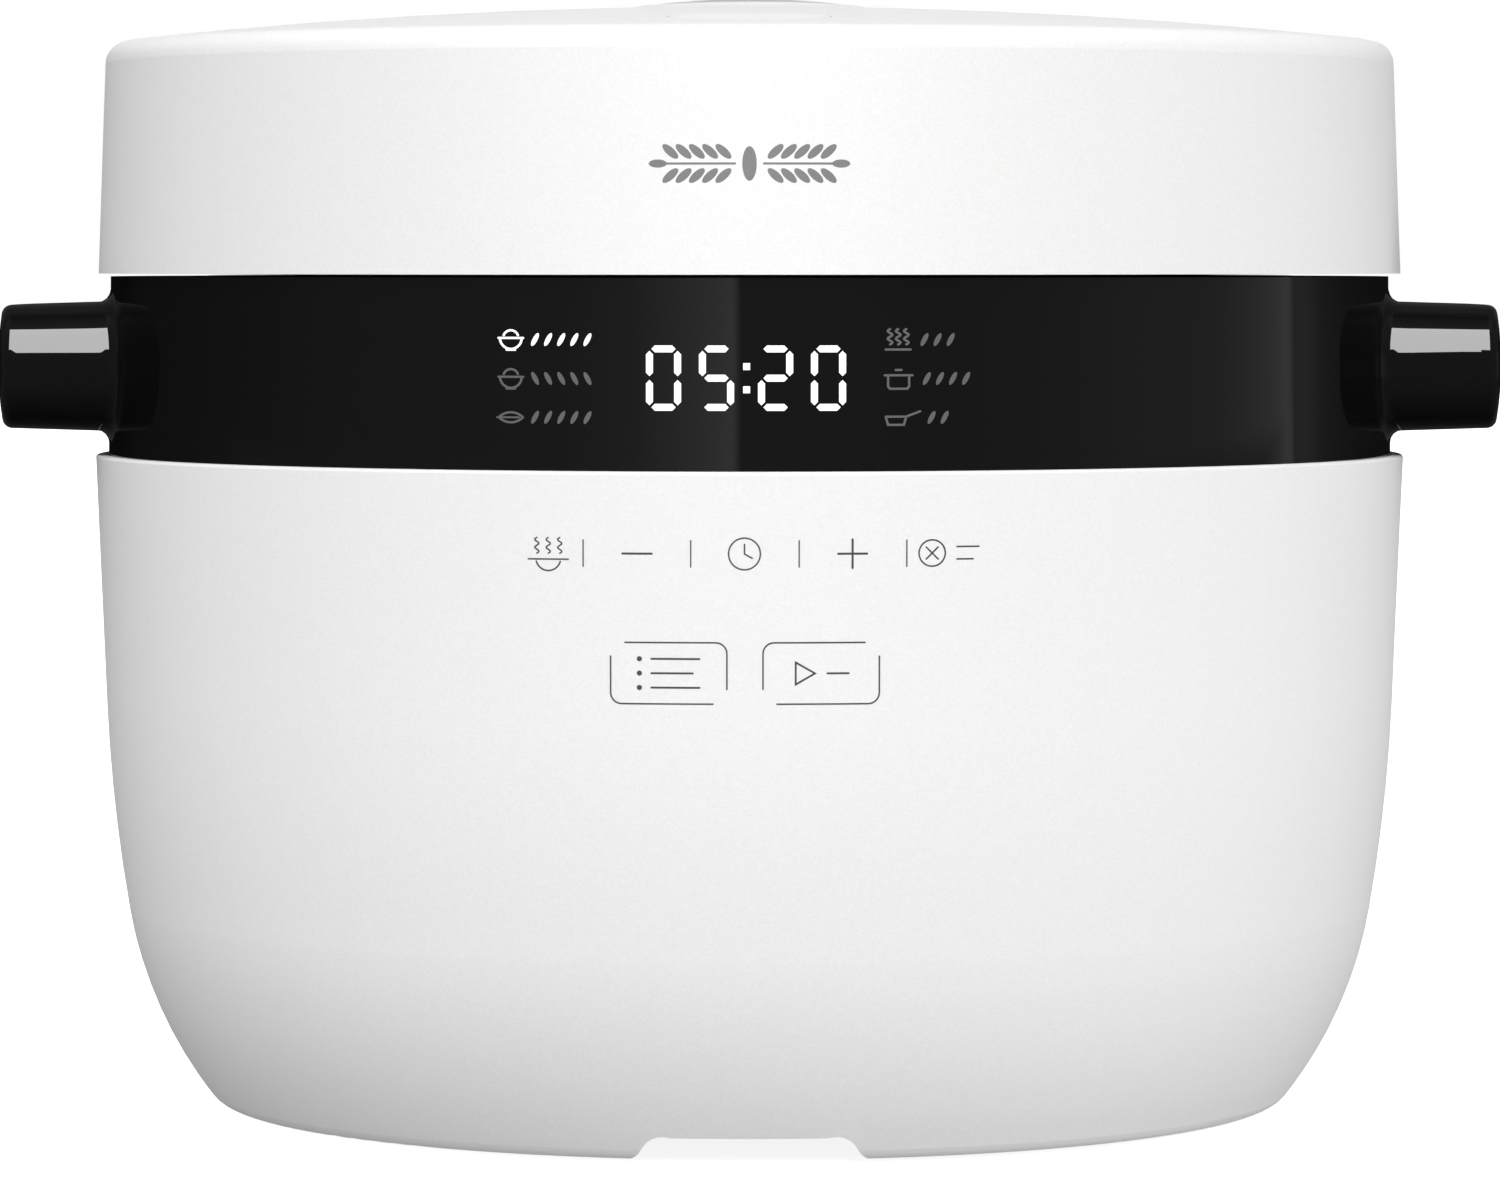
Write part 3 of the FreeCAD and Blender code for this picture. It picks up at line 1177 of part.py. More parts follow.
def build():
    outer_housing()
    handle_band()
    pot_deck()
    pot_liner()
    inner_pot()
    heating_plate()
    heating_element()
    heat_shield()
    support_posts()
    sensor_parts()
    thermal_fuse()
    base_plate()
    rubber_feet()
    base_screws()
    power_board()
    control_board()
    touch_film()
    power_inlet()
    hinge_housing()
    hinge_parts()
    drain_spout()
    condensate_cup()
    lid_cover()
    lid_inner_cover()
    lid_screws()
    inner_lid_plate()
    lid_gasket()
    vent_parts()
    lid_hinge_arm()
    lid_sensor()
    latch_slider()
    latch_guide()
    latch_keeper()
    release_button()
    doc.recompute()


def check_and_write():
    """Stops on a failed object or shape, then writes each sub-part to its own STEP file."""
    for item in doc.Objects:
        if {"Invalid", "Error"} & set(item.State):
            raise ValueError(f"{item.Label} failed: {item.State}")
    os.makedirs("parts", exist_ok=True)
    for item in parts:
        shape = item.Shape
        if shape.isNull() or not shape.isValid() or not shape.Solids:
            raise ValueError(f"{item.Label} has no valid solid")
        shape.exportStep(f"parts/{item.Label}.step")
        print(f"{item.Label}: {len(shape.Solids)} solid(s), {shape.Volume / 1000:.2f} cm3")


build()
check_and_write()
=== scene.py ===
"""The looks of the rice cooker: materials for its CAD nodes, the lit clock and mode marks in the
black band, the printed key symbols, the pot's level marks, the studio and the camera.

Metres, in the CAD's frame: +Z up, the front faces -Y. Flat drawings are in millimetres, and stamp
turns them into metres. Other lengths written in millimetres use MM.
"""

import json
import math

import bmesh
import bpy
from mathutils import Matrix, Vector
from mathutils.bvhtree import BVHTree


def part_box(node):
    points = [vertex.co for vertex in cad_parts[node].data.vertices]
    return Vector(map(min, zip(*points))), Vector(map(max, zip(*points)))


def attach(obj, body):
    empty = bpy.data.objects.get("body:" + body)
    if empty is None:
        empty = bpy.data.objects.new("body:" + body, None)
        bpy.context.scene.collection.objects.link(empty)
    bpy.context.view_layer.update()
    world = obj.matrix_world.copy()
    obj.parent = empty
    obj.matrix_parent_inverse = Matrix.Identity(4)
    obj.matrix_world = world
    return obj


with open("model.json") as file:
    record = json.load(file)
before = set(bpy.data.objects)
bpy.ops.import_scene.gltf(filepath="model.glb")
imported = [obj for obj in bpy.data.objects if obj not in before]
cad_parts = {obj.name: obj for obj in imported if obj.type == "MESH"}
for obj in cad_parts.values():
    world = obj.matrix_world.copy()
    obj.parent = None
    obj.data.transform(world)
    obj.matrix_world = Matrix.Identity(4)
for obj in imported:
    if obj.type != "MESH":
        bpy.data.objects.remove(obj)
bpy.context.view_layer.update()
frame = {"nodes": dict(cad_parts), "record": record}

MM = 0.001
NODES = frame["nodes"]


# ---------------------------------------------------------------- where things are
def middle_z(node):
    low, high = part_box(node)
    return (low.z + high.z) / 2


CLOCK_Z = middle_z("display_module") / MM
SEAM_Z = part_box("outer_housing")[1].z / MM
LID_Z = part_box("lid_cover")[0].z / MM
POT_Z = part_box("inner_pot")[0].z / MM
POT_INSIDE = 115 * MM       # radius of the pot's wall inside
SINK = 0.03 * MM            # how far a mark's back lies under the surface


def bvh_of(node):
    return BVHTree.FromObject(NODES[node], bpy.context.evaluated_depsgraph_get())


class Front:
    """A node's outer surface as seen along +Y: puts flat (x, z) drawings on it."""

    def __init__(self, node):
        self.tree = bvh_of(node)

    def lift(self, x, z, rise):
        hit, normal, _, _ = self.tree.ray_cast(Vector((x, -1, z)), Vector((0, 1, 0)))
        if hit is None:
            raise ValueError(f"nothing to draw on at {x:.4f}, {z:.4f}")
        if normal.y > 0:
            normal = -normal
        return hit + normal * rise


class Inside:
    """The wall of a round vessel seen from its axis: x is an arc length from the +Y side, z height."""

    def __init__(self, node, radius):
        self.tree = bvh_of(node)
        self.radius = radius

    def lift(self, x, z, rise):
        angle = x / self.radius
        way = Vector((math.sin(angle), math.cos(angle), 0))
        hit, normal, _, _ = self.tree.ray_cast(Vector((0, 0, z)), way)
        if normal.dot(way) > 0:
            normal = -normal
        return hit + normal * rise


# ---------------------------------------------------------------- flat drawings
# A strip is a list of (left, right) point pairs, a drawing is a list of strips, in millimetres.
def stroke(points, width, closed=False, step=1.2):
    """A line of even width through the points, with round ends."""
    pts = [Vector(points[0])]
    for point in points[1:]:
        if (Vector(point) - pts[-1]).length > 0.001:
            pts.append(Vector(point))
    if closed:
        pts.append(pts[0])
    fine = [pts[0]]
    for a, b in zip(pts, pts[1:]):
        count = max(1, math.ceil((b - a).length / step))
        fine += [a.lerp(b, k / count) for k in range(1, count + 1)]
    half = width / 2
    pairs = []
    last = len(fine) - 1
    for i, p in enumerate(fine):
        before = fine[i - 1] if i > 0 else (fine[last - 1] if closed else None)
        after = fine[i + 1] if i < last else (fine[1] if closed else None)
        ahead = (after - p).normalized() if after is not None else None
        behind = (p - before).normalized() if before is not None else None
        if ahead is None or behind is None:
            way = ahead if ahead is not None else behind
            pairs.append((p + side_of(way) * half, p - side_of(way) * half))
            continue
        way = (ahead + behind).normalized()
        stretch = half / max(0.5, side_of(way).dot(side_of(ahead)))
        pairs.append((p + side_of(way) * stretch, p - side_of(way) * stretch))
    if not closed:
        pairs = round_end(fine[0], fine[0] - fine[1], half, False) + pairs
        pairs += round_end(fine[last], fine[last] - fine[last - 1], half, True)
    return pairs


def side_of(way):
    return Vector((-way.y, way.x))


def round_end(tip, out, half, after):
    """Two narrower pairs beyond a line's end, which round it off."""
    out = out.normalized()
    side = side_of(out) if after else -side_of(out)
    steps = [(half * math.sin(a), half * math.cos(a)) for a in (math.pi / 5, math.pi / 2.4)]
    ends = [(tip + out * far + side * wide, tip + out * far - side * wide) for far, wide in steps]
    return ends if after else ends[::-1]


def arc(x, z, radius, start, stop, count=20):
    """Points along an arc, angles in degrees, anticlockwise from +X."""
    angles = [math.radians(start + (stop - start) * k / count) for k in range(count + 1)]
    return [(x + radius * math.cos(a), z + radius * math.sin(a)) for a in angles]


def fan(points):
    """A filled convex outline of an even number of points, cut into pairs across it."""
    half = len(points) // 2
    left = points[: half + 1]
    right = [points[0]] + points[: half - 1 : -1]
    return [(Vector(a), Vector(b)) for a, b in zip(left, right)]


def oval(x, z, long, wide, tilt=0.0):
    """A filled oval, long and wide are half lengths, tilt in degrees."""
    count = 12
    turn = math.radians(tilt)
    rim = []
    for k in range(2 * count):
        a = math.pi * k / count
        u, v = long * math.cos(a), wide * math.sin(a)
        rim.append((x + u * math.cos(turn) - v * math.sin(turn),
                    z + u * math.sin(turn) + v * math.cos(turn)))
    return fan(rim)


def bar(x0, x1, z0, z1):
    """A filled upright rectangle."""
    return [(Vector((x0, z0)), Vector((x1, z0))), (Vector((x0, z1)), Vector((x1, z1)))]


def moved(strips, x, z):
    shift = Vector((x, z))
    return [[(a + shift, b + shift) for a, b in strip] for strip in strips]


def mirrored(strips, x):
    """The drawing turned over about the upright line at x."""
    return [[(Vector((2 * x - b.x, b.y)), Vector((2 * x - a.x, a.y))) for a, b in strip]
            for strip in strips]


def stamp(name, strips, surface, rise, material, body):
    """Makes a thin closed piece of each strip on a surface, and joins them in one object."""
    mesh = bpy.data.meshes.new(name)
    bm = bmesh.new()
    for strip in strips:
        rows = []
        for a, b in strip:
            rows.append([bm.verts.new(surface.lift(p.x * MM, p.y * MM, level))
                         for level in (rise, -SINK) for p in (a, b)])
        for (a0, b0, c0, d0), (a1, b1, c1, d1) in zip(rows, rows[1:]):
            for face in ((a0, b0, b1, a1), (c0, c1, d1, d0), (a0, a1, c1, c0), (b0, d0, d1, b1)):
                bm.faces.new(face)
        for row in (rows[0], rows[-1]):
            bm.faces.new((row[0], row[1], row[3], row[2]))
    bmesh.ops.remove_doubles(bm, verts=bm.verts, dist=1e-7)
    bmesh.ops.dissolve_degenerate(bm, edges=bm.edges, dist=1e-7)
    bmesh.ops.recalc_face_normals(bm, faces=bm.faces)
    bm.to_mesh(mesh)
    bm.free()
    piece = bpy.data.objects.new(name, mesh)
    bpy.context.scene.collection.objects.link(piece)
    mesh.materials.append(material)
    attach(piece, body)
    return piece


# ---------------------------------------------------------------- materials
def new_material(name, color, roughness, metallic=0.0, ior=1.5):
    material = bpy.data.materials.new(name)
    material.use_nodes = True
    shader = material.node_tree.nodes["Principled BSDF"]
    shader.inputs["Base Color"].default_value = (*color, 1)
    shader.inputs["Roughness"].default_value = roughness
    shader.inputs["Metallic"].default_value = metallic
    shader.inputs["IOR"].default_value = ior
    return material, material.node_tree, shader


def add(tree, kind, **settings):
    node = tree.nodes.new(kind)
    for key, setting in settings.items():
        if key in node.inputs:
            node.inputs[key].default_value = setting
        else:
            setattr(node, key, setting)
    return node


def noise(tree, scale, detail=2.0, stretch=None):
    """A noise texture over object coordinates, stretched along axes where asked."""
    coords = add(tree, "ShaderNodeTexCoord")
    texture = add(tree, "ShaderNodeTexNoise", Scale=scale, Detail=detail, Roughness=0.5)
    if stretch:
        mapping = add(tree, "ShaderNodeMapping", Scale=stretch)
        tree.links.new(coords.outputs["Object"], mapping.inputs["Vector"])
        tree.links.new(mapping.outputs["Vector"], texture.inputs["Vector"])
    else:
        tree.links.new(coords.outputs["Object"], texture.inputs["Vector"])
    return texture


def bumped(tree, shader, texture, strength, height):
    """Raises the surface by a texture."""
    bump = add(tree, "ShaderNodeBump", Strength=strength, Distance=height)
    tree.links.new(texture.outputs[0], bump.inputs["Height"])
    tree.links.new(bump.outputs["Normal"], shader.inputs["Normal"])


def color_ramp(tree, stops):
    """A colour ramp node of (place, value or colour) stops."""
    ramp = add(tree, "ShaderNodeValToRGB")
    elements = ramp.color_ramp.elements
    while len(elements) < len(stops):
        elements.new(0.5)
    for element, (place, tone) in zip(elements, stops):
        element.position = place
        element.color = (*tone, 1) if isinstance(tone, tuple) else (tone, tone, tone, 1)
    return ramp


def ramped(tree, texture, socket, stops):
    """Sends a texture through a colour ramp into a socket."""
    ramp = color_ramp(tree, stops)
    tree.links.new(texture.outputs[0], ramp.inputs["Fac"])
    tree.links.new(ramp.outputs["Color"], socket)


def satin_shell(name="shell_white", shade=1.0):
    """White satin plastic with a fine speckle. Shade scales its colour down, which makes a copy with
    painted shade.
    """
    low = tuple(shade * c for c in (0.865, 0.865, 0.86))
    high = tuple(shade * c for c in (0.915, 0.915, 0.912))
    material, tree, shader = new_material(name, high, 0.52)
    shader.inputs["Specular IOR Level"].default_value = 0.36
    grain = noise(tree, 1900, detail=1.5)
    bumped(tree, shader, grain, 0.16, 0.08 * MM)
    ramped(tree, grain, shader.inputs["Base Color"], [(0.3, low), (0.7, high)])
    return material


def piano_black():
    material, tree, shader = new_material("gloss_black", (0.0022, 0.0022, 0.0024), 0.018, ior=1.52)
    ripple = noise(tree, 90, detail=1)
    bumped(tree, shader, ripple, 0.008, 0.05 * MM)
    return material


def textured_plastic(name, color, roughness=0.5, strength=0.25):
    material, tree, shader = new_material(name, color, roughness)
    grain_size = 0.45 * MM
    grain = noise(tree, 1 / grain_size, detail=2)
    bumped(tree, shader, grain, strength, 0.06 * MM)
    light = tuple(min(1, c * 1.12 + 0.002) for c in color)
    ramped(tree, grain, shader.inputs["Base Color"], [(0.35, color), (0.7, light)])
    return material


def turned_metal(name, color):
    """Metal with fine rings about the Z axis."""
    roughness = 0.28
    material, tree, shader = new_material(name, color, roughness, metallic=1.0)
    coords = add(tree, "ShaderNodeTexCoord")
    split = add(tree, "ShaderNodeSeparateXYZ")
    flat = add(tree, "ShaderNodeCombineXYZ")
    length = add(tree, "ShaderNodeVectorMath", operation="LENGTH")
    rings = add(tree, "ShaderNodeTexNoise", Scale=2400, Detail=2, noise_dimensions="1D")
    tree.links.new(coords.outputs["Object"], split.inputs[0])
    for axis in "XY":
        tree.links.new(split.outputs[axis], flat.inputs[axis])
    tree.links.new(flat.outputs[0], length.inputs[0])
    tree.links.new(length.outputs["Value"], rings.inputs["W"])
    bumped(tree, shader, rings, 0.12, 0.03 * MM)
    ramped(tree, rings, shader.inputs["Roughness"], [(0.3, roughness - 0.06), (0.7, roughness + 0.1)])
    return material


def sheet_metal(name, color):
    """Rolled sheet with a fine grain along X."""
    roughness = 0.35
    material, tree, shader = new_material(name, color, roughness, metallic=1.0)
    grain = noise(tree, 900, detail=3, stretch=(0.06, 1, 1))
    bumped(tree, shader, grain, 0.08, 0.03 * MM)
    ramped(tree, grain, shader.inputs["Roughness"], [(0.3, roughness - 0.08), (0.7, roughness + 0.1)])
    return material


def bright_metal():
    material, tree, shader = new_material("bright_steel", (0.78, 0.78, 0.79), 0.2, metallic=1.0)
    patches = noise(tree, 260, detail=4)
    ramped(tree, patches, shader.inputs["Roughness"], [(0.3, 0.14), (0.75, 0.34)])
    return material


def nonstick():
    """The pot's dark coating, with pale flecks."""
    material, tree, shader = new_material("pot_coating", (0.045, 0.045, 0.048), 0.32)
    coords = add(tree, "ShaderNodeTexCoord")
    cells = add(tree, "ShaderNodeTexVoronoi", Scale=520, feature="F1")
    tree.links.new(coords.outputs["Object"], cells.inputs["Vector"])
    ramped(tree, cells, shader.inputs["Base Color"],
           [(0.0, (0.42, 0.42, 0.42)), (0.1, (0.2, 0.2, 0.205)), (0.16, (0.045, 0.045, 0.048))])
    bumped(tree, shader, noise(tree, 700, detail=3), 0.12, 0.05 * MM)
    return material


def silicone():
    material, tree, shader = new_material("silicone", (0.66, 0.68, 0.68), 0.4)
    shader.inputs["Subsurface Weight"].default_value = 0.25
    shader.inputs["Subsurface Radius"].default_value = (0.004, 0.004, 0.004)
    bumped(tree, shader, noise(tree, 600, detail=2), 0.1, 0.04 * MM)
    return material


def rubber():
    material, tree, shader = new_material("foot_rubber", (0.025, 0.025, 0.026), 0.75)
    grain = noise(tree, 1500, detail=3)
    bumped(tree, shader, grain, 0.35, 0.06 * MM)
    return material


def solder_mask():
    material, tree, shader = new_material("circuit_green", (0.012, 0.09, 0.035), 0.3)
    grain = noise(tree, 240, detail=4, stretch=(1, 6, 1))
    ramped(tree, grain, shader.inputs["Base Color"],
           [(0.45, (0.01, 0.085, 0.03)), (0.5, (0.02, 0.13, 0.05)), (0.55, (0.01, 0.085, 0.03))])
    return material


def glowing(name, strength):
    """A lamp behind smoked glass: dark when unlit, so only its own light shows."""
    material, tree, shader = new_material(name, (0.02, 0.02, 0.02), 0.3)
    shader.inputs["Emission Color"].default_value = (1, 1, 1, 1)
    shader.inputs["Emission Strength"].default_value = strength
    bumped(tree, shader, noise(tree, 2500, detail=1), 0.05, 0.02 * MM)
    return material


def ink(name, color):
    material, tree, shader = new_material(name, color, 0.5)
    bumped(tree, shader, noise(tree, 3000, detail=1), 0.1, 0.02 * MM)
    return material


def dress_nodes():
    """Gives each CAD node the material of its slot in the record, except the lid cover, which gets a
    darker copy of the shell white: painted shade, so the lid looks less lit than the body.
    """
    looks = {
        "shell_white": satin_shell(),
        "gloss_black": piano_black(),
        "vent_grey": textured_plastic("vent_grey", (0.56, 0.565, 0.57), 0.38, strength=0.12),
        "matte_black": textured_plastic("matte_black", (0.018, 0.018, 0.019)),
        "pot_coating": nonstick(),
        "plate_aluminium": turned_metal("plate_aluminium", (0.76, 0.76, 0.77)),
        "sheet_steel": sheet_metal("sheet_steel", (0.56, 0.56, 0.57)),
        "bright_steel": bright_metal(),
        "silicone": silicone(),
        "foot_rubber": rubber(),
        "circuit_green": solder_mask(),
        "display_glass": textured_plastic("display_glass", (0.012, 0.012, 0.013), 0.15, strength=0.02),
        "film_clear": textured_plastic("film_clear", (0.62, 0.34, 0.06), 0.25, strength=0.05),
        "component_blue": textured_plastic("component_blue", (0.03, 0.09, 0.34), 0.35, strength=0.1),
        "component_dark": textured_plastic("component_dark", (0.04, 0.04, 0.045), 0.45),
        "terminal_white": textured_plastic("terminal_white", (0.78, 0.78, 0.74), 0.4, strength=0.1),
    }
    # the shell white at 0.955 of its brightness for the lid cover: painted shade, which makes the lid
    # look less lit than the body
    lid_white_painted_shade = satin_shell("lid_white_painted_shade", 0.955)
    for row in frame["record"]["subparts"]:
        mesh = NODES[row["node"]].data
        mesh.materials.clear()
        mesh.materials.append(lid_white_painted_shade if row["node"] == "lid_cover" else looks[row["material_slot"]])


# ---------------------------------------------------------------- seven-segment figures
SEGMENTS = {"0": "abcdef", "2": "abged", "4": "fgbc", "5": "afgcd", "6": "afgedc"}


def segment(x0, z0, x1, z1, thick, gap):
    """A lamp segment from end to end, with pointed ends, a little short of them."""
    a, b = Vector((x0, z0)), Vector((x1, z1))
    way = (b - a).normalized()
    a, b = a + way * gap, b - way * gap
    side, point = side_of(way) * thick / 2, way * thick / 2
    pairs = [(a, a), (a + point + side, a + point - side)]
    pairs += [(a.lerp(b, t) + side, a.lerp(b, t) - side) for t in (0.4, 0.6)]
    return pairs + [(b - point + side, b - point - side), (b, b)]


def digit(figure, x, z, wide, high, thick, gap):
    """A seven-segment digit whose lower left corner is at x, z."""
    inset = thick / 2
    left, right, low, mid, top = inset, wide - inset, inset, high / 2, high - inset
    runs = {
        "a": (left, top, right, top), "g": (left, mid, right, mid), "d": (left, low, right, low),
        "f": (left, mid, left, top), "b": (right, mid, right, top),
        "e": (left, low, left, mid), "c": (right, low, right, mid),
    }
    return [segment(x + runs[s][0], z + runs[s][1], x + runs[s][2], z + runs[s][3], thick, gap)
            for s in SEGMENTS[figure]]


def clock(surface):
    """The lit clock, which shows 05:20."""
    wide, high, dot = 7.3, 13.57, 0.72
    strips = []
    for left, figure in zip((-21.5, -10.5, 1.76, 12.75), "0520"):
        strips += digit(figure, left, CLOCK_Z - high / 2, wide, high, 1.45, 0.4)
    for rise in (-2.4, 2.4):
        z = CLOCK_Z + rise
        strips.append(bar(-0.6 - dot, -0.6 + dot, z - dot, z + dot))
    stamp("clock_digits", strips, surface, 0.05 * MM, glowing("clock_lit", 1.3),
          "cooker_body")


# ---------------------------------------------------------------- pictograms, about the row's middle
LINE = 0.46


def bowl():
    """A rice bowl with a heap in it."""
    return [
        stroke(arc(2.5, 0.3, 2.3, 180, 360), LINE), stroke([(-0.1, 0.3), (5.1, 0.3)], LINE),
        stroke(arc(2.5, 0.3, 1.6, 20, 160), LINE), stroke([(1.6, -2.15), (3.4, -2.15)], LINE),
    ]


def grains(x, count, tilt=62):
    return [oval(x + 2.75 * k, 0, 1.5, 0.5, tilt) for k in range(count)]


def leaf():
    return [
        stroke(arc(2.5, -2.6, 3.6, 135, 45), LINE), stroke(arc(2.5, 2.5, 3.6, 225, 315), LINE),
        stroke([(-0.4, -0.05), (4.2, -0.05)], LINE * 0.8),
    ]


def wave(x, low, high):
    """A rising wisp of steam."""
    swing, steps = 0.5, 14
    points = [(x + swing * math.sin(4 * math.pi * k / steps), low + (high - low) * k / steps)
              for k in range(steps + 1)]
    return stroke(points, LINE, step=3)


def steam():
    return [wave(x, -1.0, 2.2) for x in (0.9, 2.6, 4.3)] + [stroke([(0, -2.05), (5.2, -2.05)], LINE)]


def stew_pot():
    """A lidded pot from the side."""
    return [
        stroke([(0.5, 0.7), (0.5, -1.6), (0.9, -2.1), (4.5, -2.1), (4.9, -1.6), (4.9, 0.7)], LINE),
        stroke([(-0.2, 0.7), (5.6, 0.7)], LINE), stroke([(2.1, 1.8), (3.3, 1.8)], LINE),
    ]


def pan():
    """A shallow pan with a long handle."""
    return [
        stroke([(0, 0.2), (0.5, -1.5), (3.8, -1.5), (4.3, 0.2)], LINE),
        stroke([(4.3, 0.2), (7.2, 1.3)], LINE), stroke([(0, 0.2), (4.3, 0.2)], LINE),
    ]


def mode_marks(surface):
    """The mode pictograms in the black band: the first one lit, the others faint."""
    left, right, pitch = -52.3, 28.3, 8.1
    top = CLOCK_Z + 7.95
    lit = moved(bowl() + grains(7.6, 5), left, top)
    faint = moved(bowl() + grains(7.6, 5, -62), left, top - pitch)
    faint += moved(leaf() + grains(7.6, 5), left, top - 2 * pitch)
    faint += moved(steam() + grains(8.1, 3), right, top)
    faint += moved(stew_pot() + grains(8.6, 4), right, top - pitch)
    faint += moved(pan() + grains(9.6, 2), right, top - 2 * pitch)
    stamp("mode_lit", lit, surface, 0.05 * MM, glowing("mode_white", 1.25),
          "cooker_body")
    stamp("modes_faint", faint, surface, 0.05 * MM, glowing("mode_grey", 0.105),
          "cooker_body")


# ---------------------------------------------------------------- printed keys
PRINT = 0.34


def clock_face():
    return [stroke(arc(0, 0, 3.3, 0, 354, 40), PRINT, closed=True),
            stroke([(0, 2.0), (0, 0), (1.6, -0.9)], PRINT)]


def warm_dish():
    """A dish with warmth rising from it."""
    rise = [stroke([(x + 0.45 * math.sin(4 * math.pi * k / 12), -0.1 + 3.3 * k / 12)
                    for k in range(13)], 0.32, step=3) for x in (-2.4, 0, 2.4)]
    return rise + [stroke(arc(0, -1.1, 2.6, 195, 345), PRINT), stroke([(-4.2, -1.3), (4.2, -1.3)], PRINT)]


def cancel_sign():
    slant = 1.25
    return [
        stroke(arc(0, 0, 2.75, 0, 354, 36), PRINT, closed=True),
        stroke([(-slant, -slant), (slant, slant)], PRINT),
        stroke([(-slant, slant), (slant, -slant)], PRINT),
        stroke([(5.2, 1.3), (9.8, 1.3)], PRINT), stroke([(5.2, -1.3), (8.6, -1.3)], PRINT),
    ]


def key_frame():
    """A key's outline, open at two opposite corners."""
    left, right, low, high, bend = -28.9, -4.7, -48.3, -35.5, 2.3
    upper = [(left + 3, high), (right - bend, high)] + arc(right - bend, high - bend, bend, 90, 0, 8)
    lower = [(left, high - 2.9), (left, low + bend)] + arc(left + bend, low + bend, bend, 180, 270, 8)
    return [stroke(upper + [(right, low + 3.1)], PRINT), stroke(lower + [(right - 2.9, low)], PRINT)]


def touch_marks(surface):
    """The touch keys' symbols, printed on the shell below the band."""
    row, keys = -17.0, -41.9
    strips = moved(warm_dish(), -41.9, row) + moved(clock_face(), -1.05, row)
    strips += moved(cancel_sign(), 38.0, row)
    strips += [stroke([(-26.4, row), (-20.3, row)], 0.46), stroke([(18.4, row), (24.4, row)], 0.46),
               stroke([(21.4, row - 3), (21.4, row + 3)], 0.46)]
    strips += [stroke([(x, row - 2.75), (x, row + 2.75)], 0.3) for x in (-34.6, -12.2, 10.3, 32.7)]
    strips += key_frame() + mirrored(key_frame(), -0.95)
    for rise, right in ((3, -10.4), (0, -11.8), (-3, -10.4)):
        strips += [stroke([(-20.4, keys + rise), (right, keys + rise)], 0.42)]
        strips += [oval(-22.9, keys + rise, 0.55, 0.55)]
    strips += [stroke([(9.6, keys - 2.3), (9.6, keys + 2.3), (13.6, keys)], 0.4, closed=True)]
    strips += [stroke([(16.2, keys), (20.6, keys)], 0.42)]
    stamp("touch_marks", moved(strips, 0, SEAM_Z), surface, 0.02 * MM,
          ink("key_print", (0.035, 0.035, 0.037)), "cooker_body")


def ear():
    """Half of the lid's mark: an ear of grain that points along +X."""
    strips = [stroke([(3.0, 0), (17.2, 0)], 0.45), oval(19.0, 0, 1.9, 0.85)]
    for k in range(5):
        x = 5.4 + 2.75 * k
        strips += [oval(x, 2.5, 2.1, 0.85, 42), oval(x, -2.5, 2.1, 0.85, -42)]
    return strips


def lid_mark(surface):
    """A plain grain motif on the lid's front."""
    strips = ear() + mirrored(ear(), 0) + [oval(0, 0, 1.5, 3.6)]
    stamp("lid_mark", moved(strips, 0, LID_Z + 23.0), surface, 0.03 * MM,
          ink("lid_print", (0.13, 0.13, 0.133)), "lid")


def pot_marks(surface):
    """Level lines and figures on the pot's wall, towards the back."""
    strips = []
    for k, figure in enumerate("246"):
        z = POT_Z + 40 + 22 * k
        strips += [stroke([(-9, z), (5, z)], 0.7)]
        strips += [stroke([(-9, z - 11), (-1, z - 11)], 0.5)]
        strips += digit(figure, 7.5, z - 2.6, 3.2, 5.2, 0.75, 0.1)
    stamp("pot_level_marks", strips, surface, 0.04 * MM, ink("pot_print", (0.6, 0.6, 0.6)),
          "cooker_body")


# ---------------------------------------------------------------- studio
CAMERA_PLACE = (0.0001, -1.62, 0.1922)
CAMERA_PITCH = 2.6585       # degrees below level
CAMERA_LENS = 170.57
FLOOR_HALF = 12
FLOOR_GLOW = 0.88
AIM = Vector((0, 0, 0.15))
# name, distance, azimuth and elevation in degrees, width, height, radiance
LIGHTS = [
    ("key", 3.0, 1, 32, 1.44, 2.3, 4.6), ("front_low", 1.9, 0, -6, 1.2, 0.7, 0.2),
    ("left_fill", 1.6, -62, 0, 0.8, 0.9, 0.72), ("right_fill", 1.6, 98, 0, 0.7, 0.9, 0.7),
    ("right_low", 1.6, 85, -42, 0.7, 0.7, 3.6),
]
GLOSS_LIGHT = ("handle_strip", 1.5, 0, 39.3, 1.44, 1.32, 11)


def studio_and_camera():
    """The camera, a pale floor, the softboxes and the world."""
    scene = bpy.context.scene
    scene.view_settings.view_transform = "Standard"
    camera = bpy.data.objects.new("camera", bpy.data.cameras.new("camera"))
    scene.collection.objects.link(camera)
    camera.location = CAMERA_PLACE
    camera.rotation_euler = (math.radians(90 - CAMERA_PITCH), 0, 0)
    camera.data.sensor_width = 36
    camera.data.lens = CAMERA_LENS
    scene.camera = camera

    material, _, shader = new_material("floor_white", (0.9, 0.9, 0.9), 0.9)
    shader.inputs["Emission Color"].default_value = (1, 1, 1, 1)
    shader.inputs["Emission Strength"].default_value = FLOOR_GLOW
    size = FLOOR_HALF
    mesh = bpy.data.meshes.new("floor")
    corners = [(-size, -size, 0), (size, -size, 0), (size, size, 0), (-size, size, 0)]
    mesh.from_pydata(corners, [], [(0, 1, 2, 3)])
    mesh.materials.append(material)
    floor = bpy.data.objects.new("floor", mesh)
    scene.collection.objects.link(floor)
    floor.visible_diffuse = False
    floor.visible_glossy = False
    floor.visible_shadow = False

    for light in LIGHTS:
        softbox(*light)
    gloss = softbox(*GLOSS_LIGHT)
    gloss.visible_diffuse = False
    gloss.visible_glossy = True
    light_world(scene)


